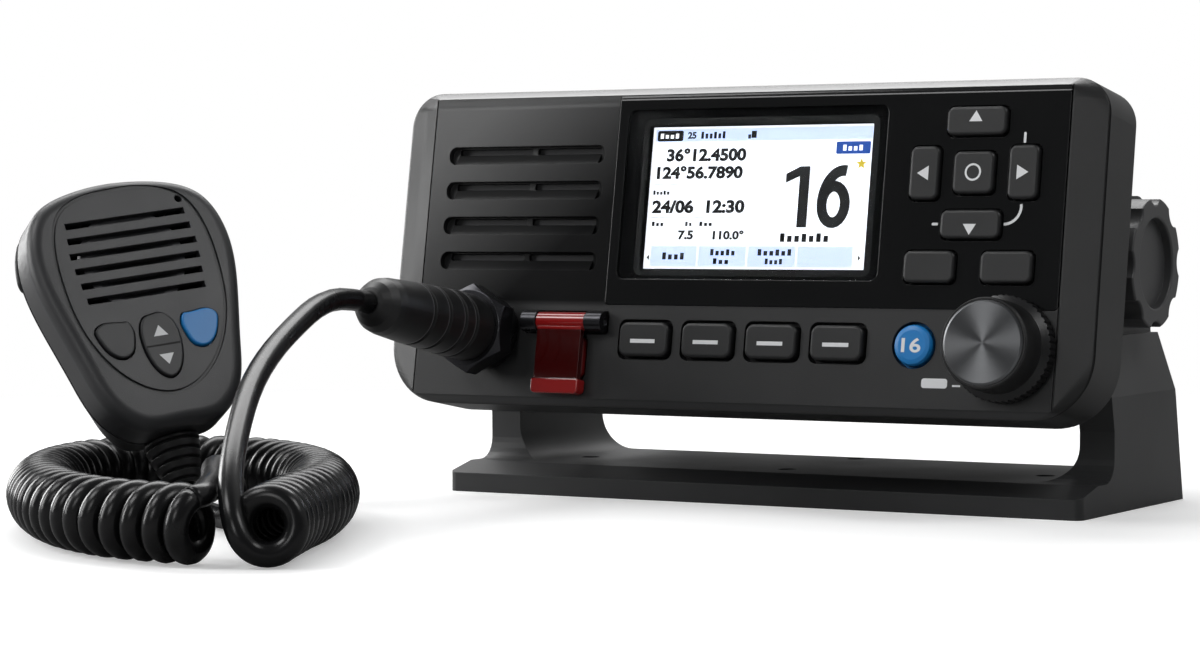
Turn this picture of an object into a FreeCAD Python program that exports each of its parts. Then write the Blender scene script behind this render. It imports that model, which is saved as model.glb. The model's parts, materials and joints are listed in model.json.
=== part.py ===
import FreeCAD, Part
import math
import os
import re
import Sketcher
from FreeCAD import Placement, Rotation, Vector

# Fixed-mount VHF radio on its bracket, with its microphone and curly cord.  Millimetres and degrees.
# The model's frame: origin under the middle of the bracket's base, +X to the right as seen from the front,
# +Y to the rear, +Z up.  The radio's own frame has its origin in the middle of the front face: x across,
# y into the radio and z up the face.  The microphone's own frame is laid the same way on its face.

DIMENSIONS = {
    # stance of the radio between the arms
    "nose_up": 9.6,
    "pivot_height": 55,
    "pivot_offset": -1,
    "pivot_depth": 39.7,
    "pivot_rise": 2.7,
    # front panel
    "panel_width": 178,
    "panel_height": 74,
    "panel_depth": 17,
    "front_wall": 2.6,
    "shell_wall": 2.2,
    "corner_top": 8,
    "corner_bottom": 14,
    "bevel_reach": 8,
    "bevel_rise": 1.8,
    "bevel_fall": 2,
    "face_corner": 0.8,
    "seam_width": 0.4,
    "seam_depth": 0.4,
    "end_line_width": 0.35,
    "rim_side": 8,
    "rim_top": 5,
    "rebate_depth": 3.6,
    "fit_gap": 0.2,
    "seat_gap": 0.05,
    # display panel, window and screen
    "deck_left": -30.5,
    "deck_bottom": -13.6,
    "deck_thickness": 1.2,
    "deck_margin": 0.15,
    "deck_corner": 0.6,
    "window_width": 65.8,
    "window_height": 39,
    "window_offset": -0.7,
    "window_lift": 0.5,
    "window_corner": 2,
    "screen_width": 56.3,
    "screen_height": 32.7,
    "screen_across": 5.7,
    "screen_up": 11.6,
    "screen_border": 1.8,
    "lcd_border": 2,
    # keys
    "key_proud": 1.2,
    "key_gap": 0.35,
    "key_travel": 0.8,
    "key_corner": 1.6,
    "key_round": 0.7,
    "flange_reach": 1.2,
    "flange_thickness": 1,
    "flange_gap": 0.15,
    "keypad_across": 59.6,
    "keypad_up": 16.2,
    "arrow_rise": 11.3,
    "arrow_spread": 11.6,
    "arrow_length": 14,
    "arrow_height": 6.3,
    "side_key_width": 6.9,
    "side_key_height": 11.8,
    "enter_width": 9.5,
    "enter_height": 9.3,
    "menu_width": 12,
    "menu_height": 7,
    "menu_spread": 9.05,
    "menu_up": -4.4,
    "soft_first": -19,
    "soft_pitch": 16.23,
    "soft_up": -21.4,
    "soft_width": 12.7,
    "soft_height": 7.8,
    "soft_gap": 0.7,
    "soft_corner": 2,
    "channel_across": 48,
    "channel_up": -21.5,
    "channel_radius": 4.45,
    "mat_thickness": 1,
    "board_thickness": 1.6,
    "board_margin": 0.8,
    "post_radius": 2.2,
    "board_screw_radius": 1,
    # volume knob and its encoder
    "knob_across": 69.8,
    "knob_up": -22.2,
    "knob_reach": 13,
    "knob_radius": 9.6,
    "cap_radius": 9.07,
    "cap_depth": 1.1,
    "skirt_radius": 11.5,
    "skirt_depth": 2.8,
    "skirt_gap": 0.8,
    "knurl_radius": 0.4,
    "shaft_radius": 3,
    "turning_gap": 0.06,
    "bush_radius": 3.9,
    "encoder_size": 11,
    # louvres and speaker
    "louvre_left": -76.4,
    "louvre_right": -33.6,
    "louvre_top": 21.5,
    "louvre_pitch": 8.33,
    "louvre_height": 4.2,
    "louvre_depth": 1.7,
    "louvre_slot": 1.5,
    "louvre_rib": -53.5,
    "louvre_rib_width": 1.4,
    "speaker_across": -55,
    "speaker_up": 9,
    "speaker_radius": 19,
    "speaker_depth": 10.6,
    "mesh_thickness": 0.3,
    "mesh_width": 46,
    "mesh_height": 34,
    # distress key and its cover
    "cover_left": -46.6,
    "cover_right": -33.9,
    "cover_bottom": -34.5,
    "cover_thickness": 1.4,
    "cover_front": 2.9,
    "cover_inset": 0.5,
    "lip_height": 3.5,
    "lip_front": 3.4,
    "lip_back": 0.4,
    "hinge_left": -50.8,
    "hinge_right": -29.4,
    "hinge_up": -17.7,
    "hinge_out": 1,
    "hinge_gap": 0.2,
    "hinge_tube_radius": 2.2,
    "knuckle_radius": 2.45,
    "hinge_pin_radius": 0.8,
    "hinge_recess": 1.6,
    "distress_width": 11.6,
    "distress_height": 9.6,
    "distress_up": -25.8,
    # microphone socket and plug
    "plug_across": -61.6,
    "plug_up": -20.4,
    "collar_radius": 8.5,
    "collar_depth": 3.5,
    "nut_radius": 10.4,
    "nut_length": 5.5,
    "core_radius": 5.1,
    "boot_radius": 7.75,
    "boot_end_radius": 6.5,
    "boot_length": 40,
    "boot_groove": 0.7,
    "crown_reach": 1.2,
    "crown_edge": 0.3,
    "crown_drop": 0.9,
    "cone_thickness": 0.6,
    "body_corner": 4,
    "body_inner_corner": 2,
    "body_rear_round": 1.5,
    "fin_margin": 6,
    "board_gap": 3,
    "board_corner": 1,
    "arm_flat_front": 10,
    "arm_flat_rear": 8,
    "base_rib": 4,
    # chassis
    "body_width": 116,
    "body_height": 58,
    "body_rise": 2,
    "body_rear": 88,
    "body_wall": 3,
    "rear_wall": 4,
    "gasket_thickness": 1,
    "screw_radius": 1.5,
    "screw_head_radius": 2.8,
    "screw_head_height": 2,
    "screw_rise": 22,
    "fin_depth": 12,
    "fin_thickness": 2,
    "fin_pitch": 6.5,
    "boss_radius": 11,
    "boss_reach": 71.5,
    "boss_end": 48,
    "main_board_length": 60,
    "main_board_width": 100,
    "main_post_height": 8,
    "shield_length": 46,
    "shield_width": 74,
    "shield_height": 10,
    "shield_wall": 0.6,
    "connector_spread": 43,
    "antenna_flange": 25,
    "antenna_radius": 8,
    "antenna_length": 15,
    "connector_radius": 7,
    "connector_length": 10,
    "connector_rise": 13,
    # bracket
    "base_depth": 61.6,
    "base_lip": 4.5,
    "base_height": 6.8,
    "base_slope": 9.8,
    "base_hollow": 3.6,
    "base_corner": 2,
    "arm_gap": 1.5,
    "arm_foot": 8.2,
    "arm_shoulder": 5.1,
    "arm_plate": 3.4,
    "arm_crease": 25.7,
    "arm_ledge": 38.9,
    "arm_top": 70,
    "arm_top_round": 6,
    "arm_root_round": 8,
    "arm_waist_front": 11.5,
    "arm_waist_top": 18,
    "arm_crease_front": 13.2,
    "arm_ledge_front": 17,
    "arm_front": 18.5,
    "arm_front_round": 5,
    "arm_crease_rear": 26.2,
    "arm_ledge_rear": 22.5,
    "arm_rear": 20,
    "hole_radius": 2.25,
    "side_hole_spread": 60,
    "centre_hole_front": -11,
    "centre_hole_rear": 25,
    # clamp knobs
    "clamp_radius": 14.5,
    "clamp_depth": 10.3,
    "clamp_gap": 0.1,
    "clamp_dish_radius": 10,
    "clamp_dish_depth": 2,
    "scallop_radius": 4,
    "scallop_bite": 1.6,
    "clamp_screw_radius": 2.5,
    "clamp_screw_gap": 0.08,
    "clamp_screw_end": 60,
    "washer_radius": 8,
    # microphone
    "mic_turn": 56.9,
    "mic_lean": 23.8,
    "mic_roll": 8.2,
    "mic_width": 47.5,
    "mic_height": 58.7,
    "mic_front_depth": 9.8,
    "mic_depth": 24.8,
    "mic_seam": 0.7,
    "mic_wall": 2,
    "mic_front_round": 3,
    "mic_rear_round": 3,
    "mic_rear_slope": 0.63,
    "mic_foot_slope": 0.2,
    "groove_width": 0.7,
    "groove_depth": 0.5,
    "mic_slot_top": 11.2,
    "mic_slot_pitch": 3.6,
    "mic_slot_height": 1.5,
    "mic_slot_half": 15,
    "rocker_up": -19.5,
    "mic_key_proud": 0.8,
    "mic_key_gap": 0.3,
    "mic_key_flange": 0.6,
    "mic_board_top": -11.8,
    "mic_board_bottom": -33.2,
    "rocker_pin_radius": 0.7,
    "mic_speaker_radius": 12,
    "mic_speaker_up": 2.4,
    "ptt_proud": 1.3,
    "ptt_height": 12,
    "ptt_depth": 5.8,
    "ptt_start": 11.7,
    "ptt_up": 8.5,
    "ptt_corner": 2,
    "ptt_round": 0.6,
    "ptt_gap": 0.3,
    "ptt_foot": 1.2,
    "relief_depth": 11.2,
    "relief_gap": 0.35,
    "relief_length": 10.75,
    "relief_top_radius": 6.2,
    "relief_tip_radius": 3.7,
    "relief_neck_radius": 4,
    "relief_flange": 1.4,
    "stud_up": -24,
    "stud_radius": 6.5,
    "stud_length": 6.5,
    "mic_screw_radius": 1,
    "mic_screw_seat": 14,
    # cord
    "cord_radius": 2.45,
    "coil_radius": 8,
}

SOFT_KEYS = 4
LOUVRES = 4
FINS_EACH_SIDE = 4
KNURLS = 48
SCALLOPS = 8
ROOT_STEPS = 6
PTT_REACH = 16
PTT_ROOM = 4
BOOT_GROOVES = [(0.18, 0), (0.29, 0.15), (0.44, 0.4), (0.59, 0.65)]
MIC_SLOTS = 6
BOARD_POSTS = [(-29, 24), (40, 25), (76.5, 4.7), (-29.5, -25), (58.5, -24.5)]
MIC_SCREWS = [(-10, 14.5), (10, 14.5), (0, -31.5)]
MIC_ORIGIN = Vector(-105.9, -117.2, 55.6)

# Half of the microphone's outline, as shares of its half width and of its height, from the top down.
MIC_OUTLINE = [(0, 0.357), (0.45, 0.338), (0.84, 0.262), (0.98, 0.14), (1, 0.02), (0.93, -0.15),
               (0.8, -0.36), (0.66, -0.53), (0.36, -0.638), (0, -0.643)]

# Right halves of the smooth outlines on the microphone's face, across and up, from the top down.
FACE_GROOVE = [(0, 18.3), (8, 17.6), (14.5, 14.2), (17.3, 8), (18, -2.5), (17.2, -10.5), (15.2, -17),
               (11, -24), (4.5, -29), (0, -30)]
ROCKER = [(0, -12), (2.6, -12.6), (4, -14.8), (4.4, -18.8), (3.5, -23.4), (1.6, -26.3), (0, -27)]

# The whole outline of the right key; the left key is its mirror image.
SIDE_KEY = [(7, -12.9), (10, -12.7), (13, -12.9), (14.2, -14), (13.9, -16.4), (12.3, -19.5), (9.6, -21.1),
            (7.2, -20.1), (6.1, -17.4), (5.9, -14.2)]

# The cord's route: down from the plug's boot, round the ring, and up from the floor to the microphone.
LEAD_ROUTE = [(-61.6, -92.43, 47.04), (-61.6, -101.8, 48.6), (-59.4, -114.2, 47.3), (-55.9, -126.9, 43.6),
              (-50.9, -143.2, 38.2), (-44.4, -158.6, 32.3), (-36.6, -172.9, 25.3), (-29.6, -184.6, 18.6),
              (-24.9, -190.9, 13.4), (-23.4, -192.4, 9.2)]
RING_ROUTE = [(-16.5, -191, 8), (-25.3, -173.8, 8), (-35.3, -149.8, 8), (-50.4, -124.8, 8),
              (-68.5, -103.4, 8), (-90.8, -87.9, 8), (-111.6, -86.4, 8), (-124.2, -96.3, 8),
              (-126, -114.2, 8), (-115.3, -137.6, 8), (-97.4, -160.4, 8), (-76.6, -179.7, 8),
              (-58.5, -189.5, 8), (-46.5, -193, 8), (-30, -193.6, 8)]
TAIL_ROUTE = [(-33.2, -189.6, 13.1), (-34.5, -184, 14.5), (-38.5, -178.5, 16.3), (-42.1, -173.9, 17.3),
              (-46.1, -164.6, 16.2), (-50.4, -155.9, 11.3), (-55.8, -148.1, 6.2), (-63.2, -140.2, 3.2),
              (-72.2, -133, 2.6), (-79.8, -126.8, 2.6), (-85.8, -121.8, 2.5),
              (-90.1, -118.6, 2.7), (-93.2, -116.7, 4.1), (-94.37, -116.42, 6.75)]

document = FreeCAD.newDocument("marine_radio")
sheet = document.addObject("Spreadsheet::Sheet", "sizes")
nodes = []

ROLES = {"XY": "XY_Plane", "XZ": "XZ_Plane", "YZ": "YZ_Plane"}


# ---------------------------------------------------------------- sizes

def fill_sheet():
    for row, (alias, size) in enumerate(DIMENSIONS.items(), start=1):
        sheet.set(f"A{row}", alias)
        sheet.set(f"B{row}", str(size))
        sheet.setAlias(f"B{row}", alias)
    document.recompute()


def refer(formula):
    """The formula with each alias spelt as a reference to the sheet."""
    return re.sub(r"[A-Za-z_]\w*", lambda word: "sizes." + word[0] if word[0] in DIMENSIONS else word[0],
                  str(formula))


def value(formula):
    return float(document.sizes.evalExpression(refer(formula)))


def bind(item, name, formula):
    item.setExpression(name, refer(formula))


# ---------------------------------------------------------------- sketch shapes, as lists of formulas

def rectangle(across, up, width, height, top_round="0.3", bottom_round=None):
    return ("rectangle", across, up, width, height, top_round, bottom_round or top_round)


def disc(across, up, radius):
    return ("disc", across, up, radius)


def polygon(points):
    return ("polygon", points)


def fix_point(sketch, geometry, end, across, up):
    """Constrain a point of the sketch's geometry to two formulas; None leaves a direction free."""
    for kind, formula in (("DistanceX", across), ("DistanceY", up)):
        if formula is not None:
            number = sketch.addConstraint(Sketcher.Constraint(kind, geometry, end, value(formula)))
            bind(sketch, f"Constraints[{number}]", formula)


def fix_radius(sketch, geometry, formula):
    number = sketch.addConstraint(Sketcher.Constraint("Radius", geometry, value(formula)))
    bind(sketch, f"Constraints[{number}]", formula)


def draw_disc(sketch, across, up, radius):
    centre = Vector(value(across), value(up), 0)
    circle = sketch.addGeometry(Part.Circle(centre, Vector(0, 0, 1), value(radius)), False)
    fix_point(sketch, circle, 3, across, up)
    fix_radius(sketch, circle, radius)


def draw_polygon(sketch, points):
    corners = [Vector(value(across), value(up), 0) for across, up in points]
    lines = [Part.LineSegment(corner, corners[(index + 1) % len(corners)])
             for index, corner in enumerate(corners)]
    first = sketch.addGeometry(lines, False)[0]
    count = len(points)
    sketch.addConstraint([Sketcher.Constraint("Coincident", first + index, 2, first + (index + 1) % count, 1)
                          for index in range(count)])
    for index, (across, up) in enumerate(points):
        fix_point(sketch, first + index, 1, across, up)


def draw_rectangle(sketch, across, up, width, height, top_round, bottom_round):
    left, right = f"({across}) - ({width})/2", f"({across}) + ({width})/2"
    bottom, top = f"({up}) - ({height})/2", f"({up}) + ({height})/2"
    x0, x1, z0, z1 = value(left), value(right), value(bottom), value(top)
    low, high = value(bottom_round), value(top_round)
    centres = [(x1 - low, z0 + low, low), (x1 - high, z1 - high, high),
               (x0 + high, z1 - high, high), (x0 + low, z0 + low, low)]
    lines = [((x0 + low, z0), (x1 - low, z0)), ((x1, z0 + low), (x1, z1 - high)),
             ((x1 - high, z1), (x0 + high, z1)), ((x0, z1 - high), (x0, z0 + low))]
    shapes = []
    for quarter, ((start, end), (cx, cz, radius)) in enumerate(zip(lines, centres)):
        shapes.append(Part.LineSegment(Vector(*start, 0), Vector(*end, 0)))
        circle = Part.Circle(Vector(cx, cz, 0), Vector(0, 0, 1), radius)
        turn = (quarter - 1) * math.pi / 2
        shapes.append(Part.ArcOfCircle(circle, turn, turn + math.pi / 2))
    first = sketch.addGeometry(shapes, False)[0]
    side = [first + 2 * index for index in range(4)]
    arc = [first + 2 * index + 1 for index in range(4)]
    rules = [Sketcher.Constraint("Tangent", first + index, 2, first + (index + 1) % 8, 1)
             for index in range(8)]
    rules += [Sketcher.Constraint("Horizontal", side[0]), Sketcher.Constraint("Horizontal", side[2])]
    rules += [Sketcher.Constraint("Vertical", side[1]), Sketcher.Constraint("Vertical", side[3])]
    rules += [Sketcher.Constraint("Equal", arc[1], arc[2]), Sketcher.Constraint("Equal", arc[0], arc[3])]
    sketch.addConstraint(rules)
    fix_radius(sketch, arc[1], top_round)
    fix_radius(sketch, arc[0], bottom_round)
    fix_point(sketch, side[3], 1, left, None)
    fix_point(sketch, side[1], 1, right, None)
    fix_point(sketch, side[0], 1, None, bottom)
    fix_point(sketch, side[2], 1, None, top)


DRAW = {"disc": draw_disc, "polygon": draw_polygon, "rectangle": draw_rectangle}


def sketch_on(body, plane, level, shapes):
    sketch = body.newObject("Sketcher::SketchObject", body.Name + "_sketch")
    support = next(item for item in body.Origin.OriginFeatures if item.Role == ROLES[plane])
    sketch.AttachmentSupport = (support, [""])
    sketch.MapMode = "FlatFace"
    bind(sketch, "AttachmentOffset.Base.z", f"-({level})" if plane == "XZ" else level)
    for kind, *sizes in shapes:
        DRAW[kind](sketch, *sizes)
    return sketch


# ---------------------------------------------------------------- features

def new_body(name):
    body = document.addObject("PartDesign::Body", name)
    body.Label = name
    nodes.append(body)
    return body


def extrude(body, plane, start, end, shapes, cut=False):
    """Pad or pocket the shapes between two levels along the plane's positive axis."""
    sketch = sketch_on(body, plane, start, shapes)
    feature = body.newObject("PartDesign::Pocket" if cut else "PartDesign::Pad", body.Name + "_extrusion")
    feature.Profile = sketch
    feature.Type = "Length"
    feature.Reversed = (plane == "XZ") != cut
    bind(feature, "Length", f"({end}) - ({start})")
    return feature


def revolve(body, points, axis="V_Axis", cut=False):
    """Turn an outline of the XY plane about that plane's Y axis, or its X axis with H_Axis."""
    sketch = sketch_on(body, "XY", "0", [polygon(points)])
    feature = body.newObject("PartDesign::Groove" if cut else "PartDesign::Revolution", body.Name + "_turn")
    feature.Profile = sketch
    feature.ReferenceAxis = (sketch, [axis])
    feature.Angle = 360
    return feature


def repeat_round(body, feature, role, count):
    pattern = body.newObject("PartDesign::PolarPattern", body.Name + "_pattern")
    pattern.Originals = [feature]
    axis = next(item for item in body.Origin.OriginFeatures if item.Role == role)
    pattern.Axis = (axis, [""])
    pattern.Angle = 360
    pattern.Occurrences = count
    body.Tip = pattern


def loft(body, plane, sections):
    """A ruled solid between two sketched outlines, each given with its level."""
    first, last = [sketch_on(body, plane, level, [shape]) for level, shape in sections]
    feature = body.newObject("PartDesign::AdditiveLoft", body.Name + "_loft")
    feature.Profile = first
    feature.Sections = [last]
    feature.Ruled = True
    return feature


def round_edges(body, radius, wanted, kind="Fillet"):
    """Fillet or chamfer the edges of the body for which wanted(edge) holds."""
    tip = body.Tip
    document.recompute([tip])
    names = [f"Edge{number}" for number, edge in enumerate(tip.Shape.Edges, start=1) if wanted(edge)]
    feature = body.newObject("PartDesign::" + kind, body.Name + "_rounding")
    feature.Base = (tip, names)
    bind(feature, "Radius" if kind == "Fillet" else "Size", radius)


def at_level(axis, level):
    """A test for edges that lie wholly at one level of an axis."""
    height = value(level)
    return lambda edge: all(abs(getattr(vertex.Point, axis) - height) < 1e-3 for vertex in edge.Vertexes)


def along(edge, axis):
    """Whether a straight edge runs along an axis."""
    if edge.Curve.TypeId != "Part::GeomLine":
        return False
    return abs(getattr(edge.Curve.Direction, axis)) > 0.999


# ---------------------------------------------------------------- places

def seat_on_radio(item, across="0", depth="0", up="0"):
    """Place an item's origin at a point of the radio's own frame."""
    item.Placement = Placement(Vector(), Rotation(Vector(-1, 0, 0), 1))
    back = f"(({depth}) - pivot_depth)"
    rise = f"(({up}) - pivot_rise)"
    bind(item, "Placement.Base.x", across)
    bind(item, "Placement.Base.y", f"pivot_offset + {back}*cos(nose_up) + {rise}*sin(nose_up)")
    bind(item, "Placement.Base.z", f"pivot_height - {back}*sin(nose_up) + {rise}*cos(nose_up)")
    bind(item, "Placement.Rotation.Angle", "nose_up")


def mic_placement():
    turn = Rotation(Vector(0, 0, 1), value("mic_turn"))
    lean = Rotation(Vector(1, 0, 0), -value("mic_lean"))
    roll = Rotation(Vector(0, 1, 0), -value("mic_roll"))
    return Placement(MIC_ORIGIN, turn.multiply(lean).multiply(roll))


def seat_on_mic(item, across=0, depth=0, up=0):
    item.Placement = mic_placement().multiply(Placement(Vector(across, depth, up), Rotation()))


# ---------------------------------------------------------------- shapes that several sub-parts share

def face_rectangle(side_inset, edge_inset, clearance="0"):
    """The panel's rounded outline, set in from the sides and from the top and bottom."""
    inset = f"({edge_inset}) + ({clearance})"
    return rectangle("0", "0", f"panel_width - 2*(({side_inset}) + ({clearance}))",
                     f"panel_height - 2*({inset})", f"corner_top - ({inset})", f"corner_bottom - ({inset})")


def deck_outline(clearance):
    left = f"deck_left + {clearance}"
    right = f"panel_width/2 - bevel_reach - deck_margin - {clearance}"
    bottom = f"deck_bottom + {clearance}"
    top = f"panel_height/2 - bevel_rise - deck_margin - {clearance}"
    return rectangle(f"(({left}) + ({right}))/2", f"(({bottom}) + ({top}))/2",
                     f"({right}) - ({left})", f"({top}) - ({bottom})", "deck_corner", "1")


def window_outline(clearance):
    return rectangle("screen_across + window_offset", "screen_up + window_lift",
                     f"window_width + 2*{clearance}", f"window_height + 2*{clearance}", "window_corner")


def board_outline(clearance):
    """The front board's outline: behind the keys, with a tongue under the speaker to the distress key."""
    right = f"panel_width/2 - rim_side - board_margin - {clearance}"
    edge = f"panel_height/2 - rim_top - board_margin - {clearance}"
    step = f"deck_left - 2 + {clearance}"
    tongue_top = f"speaker_up - speaker_radius - 1 - {clearance}"
    tongue_left = f"cover_left - 1.5 + {clearance}"
    return polygon([(tongue_left, f"-({edge})"), (right, f"-({edge})"), (right, edge), (step, edge),
                    (step, tongue_top), (tongue_left, tongue_top)])


def smooth_face(points):
    """A face on the microphone's front plane, inside a closed smooth curve through the points."""
    curve = Part.BSplineCurve()
    curve.interpolate(Points=[Vector(across, 0, up) for across, up in points], PeriodicFlag=True)
    return Part.Face(Part.Wire(curve.toShape()))


def grown(points, margin):
    """An outline whose points lie further from its middle."""
    across_middle = (max(point[0] for point in points) + min(point[0] for point in points)) / 2
    up_middle = (max(point[1] for point in points) + min(point[1] for point in points)) / 2
    moved = []
    for across, up in points:
        reach = math.hypot(across - across_middle, up - up_middle)
        share = 1 + margin / reach
        moved.append((across_middle + (across - across_middle) * share, up_middle + (up - up_middle) * share))
    return moved


def mirrored(right):
    """The whole of an outline whose right half is given, from the top down."""
    return right + [(-across, up) for across, up in reversed(right[1:-1])]


def mic_outline(inset, foot_inset=None):
    """The microphone's outline, set in all round, or by another amount at the foot."""
    height = value("mic_height")
    half = value("mic_width") / 2 - inset
    top = height * MIC_OUTLINE[0][1] - inset
    bottom = height * MIC_OUTLINE[-1][1] + (inset if foot_inset is None else foot_inset)
    span = MIC_OUTLINE[0][1] - MIC_OUTLINE[-1][1]
    return smooth_face(mirrored([(half * share, bottom + (top - bottom) * (rise - MIC_OUTLINE[-1][1]) / span)
                                 for share, rise in MIC_OUTLINE]))


def mic_slab(inset, start, end):
    return plate(mic_outline(inset), start, end)


def mic_taper(inset, start, end):
    """The rear cover's narrowing form between two depths, set in all round."""
    wires = []
    for depth in (start, end):
        back = depth - value("mic_front_depth + mic_seam")
        side_inset = inset + value("mic_rear_slope") * back
        foot_inset = inset + value("mic_foot_slope") * back
        wire = mic_outline(side_inset, foot_inset).OuterWire
        wire.translate(Vector(0, depth, 0))
        wires.append(wire)
    return Part.makeLoft(wires, True, True)


def plate(face, start, end):
    """A face of the microphone's front plane made solid between two depths."""
    solid = face.extrude(Vector(0, end - start, 0))
    solid.translate(Vector(0, start, 0))
    return solid


def mic_box(across, up, width, height, start, end):
    return Part.makeBox(width, end - start, height, Vector(across - width / 2, start, up - height / 2))


def pin(centre, radius, start, end, direction=Vector(0, 1, 0)):
    """A round pin along an axis of the microphone, between two levels of that axis."""
    return Part.makeCylinder(radius, end - start, centre + direction * start, direction)


def mic_part(name, shape):
    feature = document.addObject("Part::Feature", name)
    feature.Label = name
    feature.Shape = shape.removeSplitter()
    seat_on_mic(feature)
    nodes.append(feature)
    return feature


# ---------------------------------------------------------------- keys

# name, middle across and up the face, width, height; the soft keys have rounder corners
KEYS = [
    ("key_up", "keypad_across", "keypad_up + arrow_rise", "arrow_length", "arrow_height"),
    ("key_down", "keypad_across", "keypad_up - arrow_rise", "arrow_length", "arrow_height"),
    ("key_left", "keypad_across - arrow_spread", "keypad_up", "side_key_width", "side_key_height"),
    ("key_right", "keypad_across + arrow_spread", "keypad_up", "side_key_width", "side_key_height"),
    ("key_enter", "keypad_across", "keypad_up", "enter_width", "enter_height"),
    ("key_menu", "keypad_across - menu_spread", "menu_up", "menu_width", "menu_height"),
    ("key_clear", "keypad_across + menu_spread", "menu_up", "menu_width", "menu_height"),
]
SOFT = [(f"soft_key_{number + 1}", f"soft_first + {number}*soft_pitch", "soft_up", "soft_width",
         "soft_height") for number in range(SOFT_KEYS)]
DISTRESS = ("distress_key", "(cover_left + cover_right)/2", "distress_up", "distress_width",
            "distress_height")
FLANGE_START = "front_wall + flange_gap"
FLANGE_END = "front_wall + flange_gap + flange_thickness"
MAT_START = f"{FLANGE_END} + key_travel + 0.1"
MAT_END = f"{MAT_START} + mat_thickness"
BOARD_END = f"{MAT_END} + board_thickness"


def key_holes(keys, gap, corner="key_corner"):
    return [rectangle(across, up, f"{width} + 2*{gap}", f"{height} + 2*{gap}", corner)
            for _, across, up, width, height in keys]


def make_key(name, across, up, width, height, corner="key_corner"):
    body = new_body(name)
    extrude(body, "XZ", "-key_proud", FLANGE_END, [rectangle(across, up, width, height, corner)])
    round_edges(body, "key_round", at_level("y", "-key_proud"))
    extrude(body, "XZ", FLANGE_START, FLANGE_END,
            [rectangle(across, up, f"{width} + 2*flange_reach", f"{height} + 2*flange_reach", corner)])
    seat_on_radio(body)


def key_channel():
    body = new_body("key_channel")
    radius = "channel_radius"
    revolve(body, [("0", "-key_proud"), (f"{radius} - crown_reach", "-key_proud"),
                   (f"{radius} - crown_edge", "-key_proud + crown_edge"),
                   (radius, "-key_proud + crown_drop"), (radius, FLANGE_START),
                   (f"{radius} + flange_reach", FLANGE_START), (f"{radius} + flange_reach", FLANGE_END),
                   ("0", FLANGE_END)])
    seat_on_radio(body, "channel_across", "0", "channel_up")


# ---------------------------------------------------------------- radio

def wall_openings():
    opening_width = "screen_width + 2*screen_border"
    opening_height = "screen_height + 2*screen_border"
    return [rectangle("screen_across", "screen_up", opening_width, opening_height, "window_corner"),
            disc("channel_across", "channel_up", "channel_radius + soft_gap"),
            disc("knob_across", "knob_up", "bush_radius + 0.1"),
            disc("plug_across", "plug_up", "collar_radius - 1.4"),
            *key_holes([*KEYS, DISTRESS], "key_gap"), *key_holes(SOFT, "soft_gap", "soft_corner")]


def louvre_level(number):
    return f"louvre_top - {number}*louvre_pitch"


def louvre_spans(end_round):
    """The slots of a louvre, to the left and to the right of the rib."""
    return [(f"louvre_left + {end_round}", "louvre_rib - louvre_rib_width/2"),
            ("louvre_rib + louvre_rib_width/2", f"louvre_right - {end_round}")]


def cut_louvres(body):
    """Recesses with a sloping floor and a slot through the wall along the top of each."""
    end_round = "louvre_height*0.45"
    for number in range(LOUVRES):
        level = louvre_level(number)
        bottom = f"{level} - louvre_height/2"
        extrude(body, "XZ", "-1", "louvre_depth",
                [rectangle("(louvre_left + louvre_right)/2", level, "louvre_right - louvre_left",
                           "louvre_height", end_round)], cut=True)
        extrude(body, "YZ", f"louvre_left + {end_round}", f"louvre_right - {end_round}",
                [polygon([("0.2", bottom), ("louvre_depth", f"{bottom} + louvre_height - louvre_slot - 0.3"),
                          ("louvre_depth + 0.2", bottom)])])
        for left, right in louvre_spans(end_round):
            slot = rectangle(f"({left} + {right})/2", f"{level} + louvre_height/2 - louvre_slot/2 - 0.3",
                             f"{right} - ({left})", "louvre_slot", "0.4")
            extrude(body, "XZ", "-1", "front_wall + 1", [slot], cut=True)


def cut_seams(body):
    """A groove round the bevel's outer edge and a fine line at each end of the flat face."""
    extrude(body, "XZ", "bevel_fall", "bevel_fall + seam_width",
            [face_rectangle("-1", "-1"), face_rectangle("seam_depth", "seam_depth")], cut=True)
    for side in ("-", ""):
        extrude(body, "XZ", "-1", "end_line_width",
                [rectangle(f"{side}(panel_width/2 - bevel_reach)", "0", "end_line_width",
                           "panel_height - 2*bevel_rise", "0.1")], cut=True)


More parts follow.
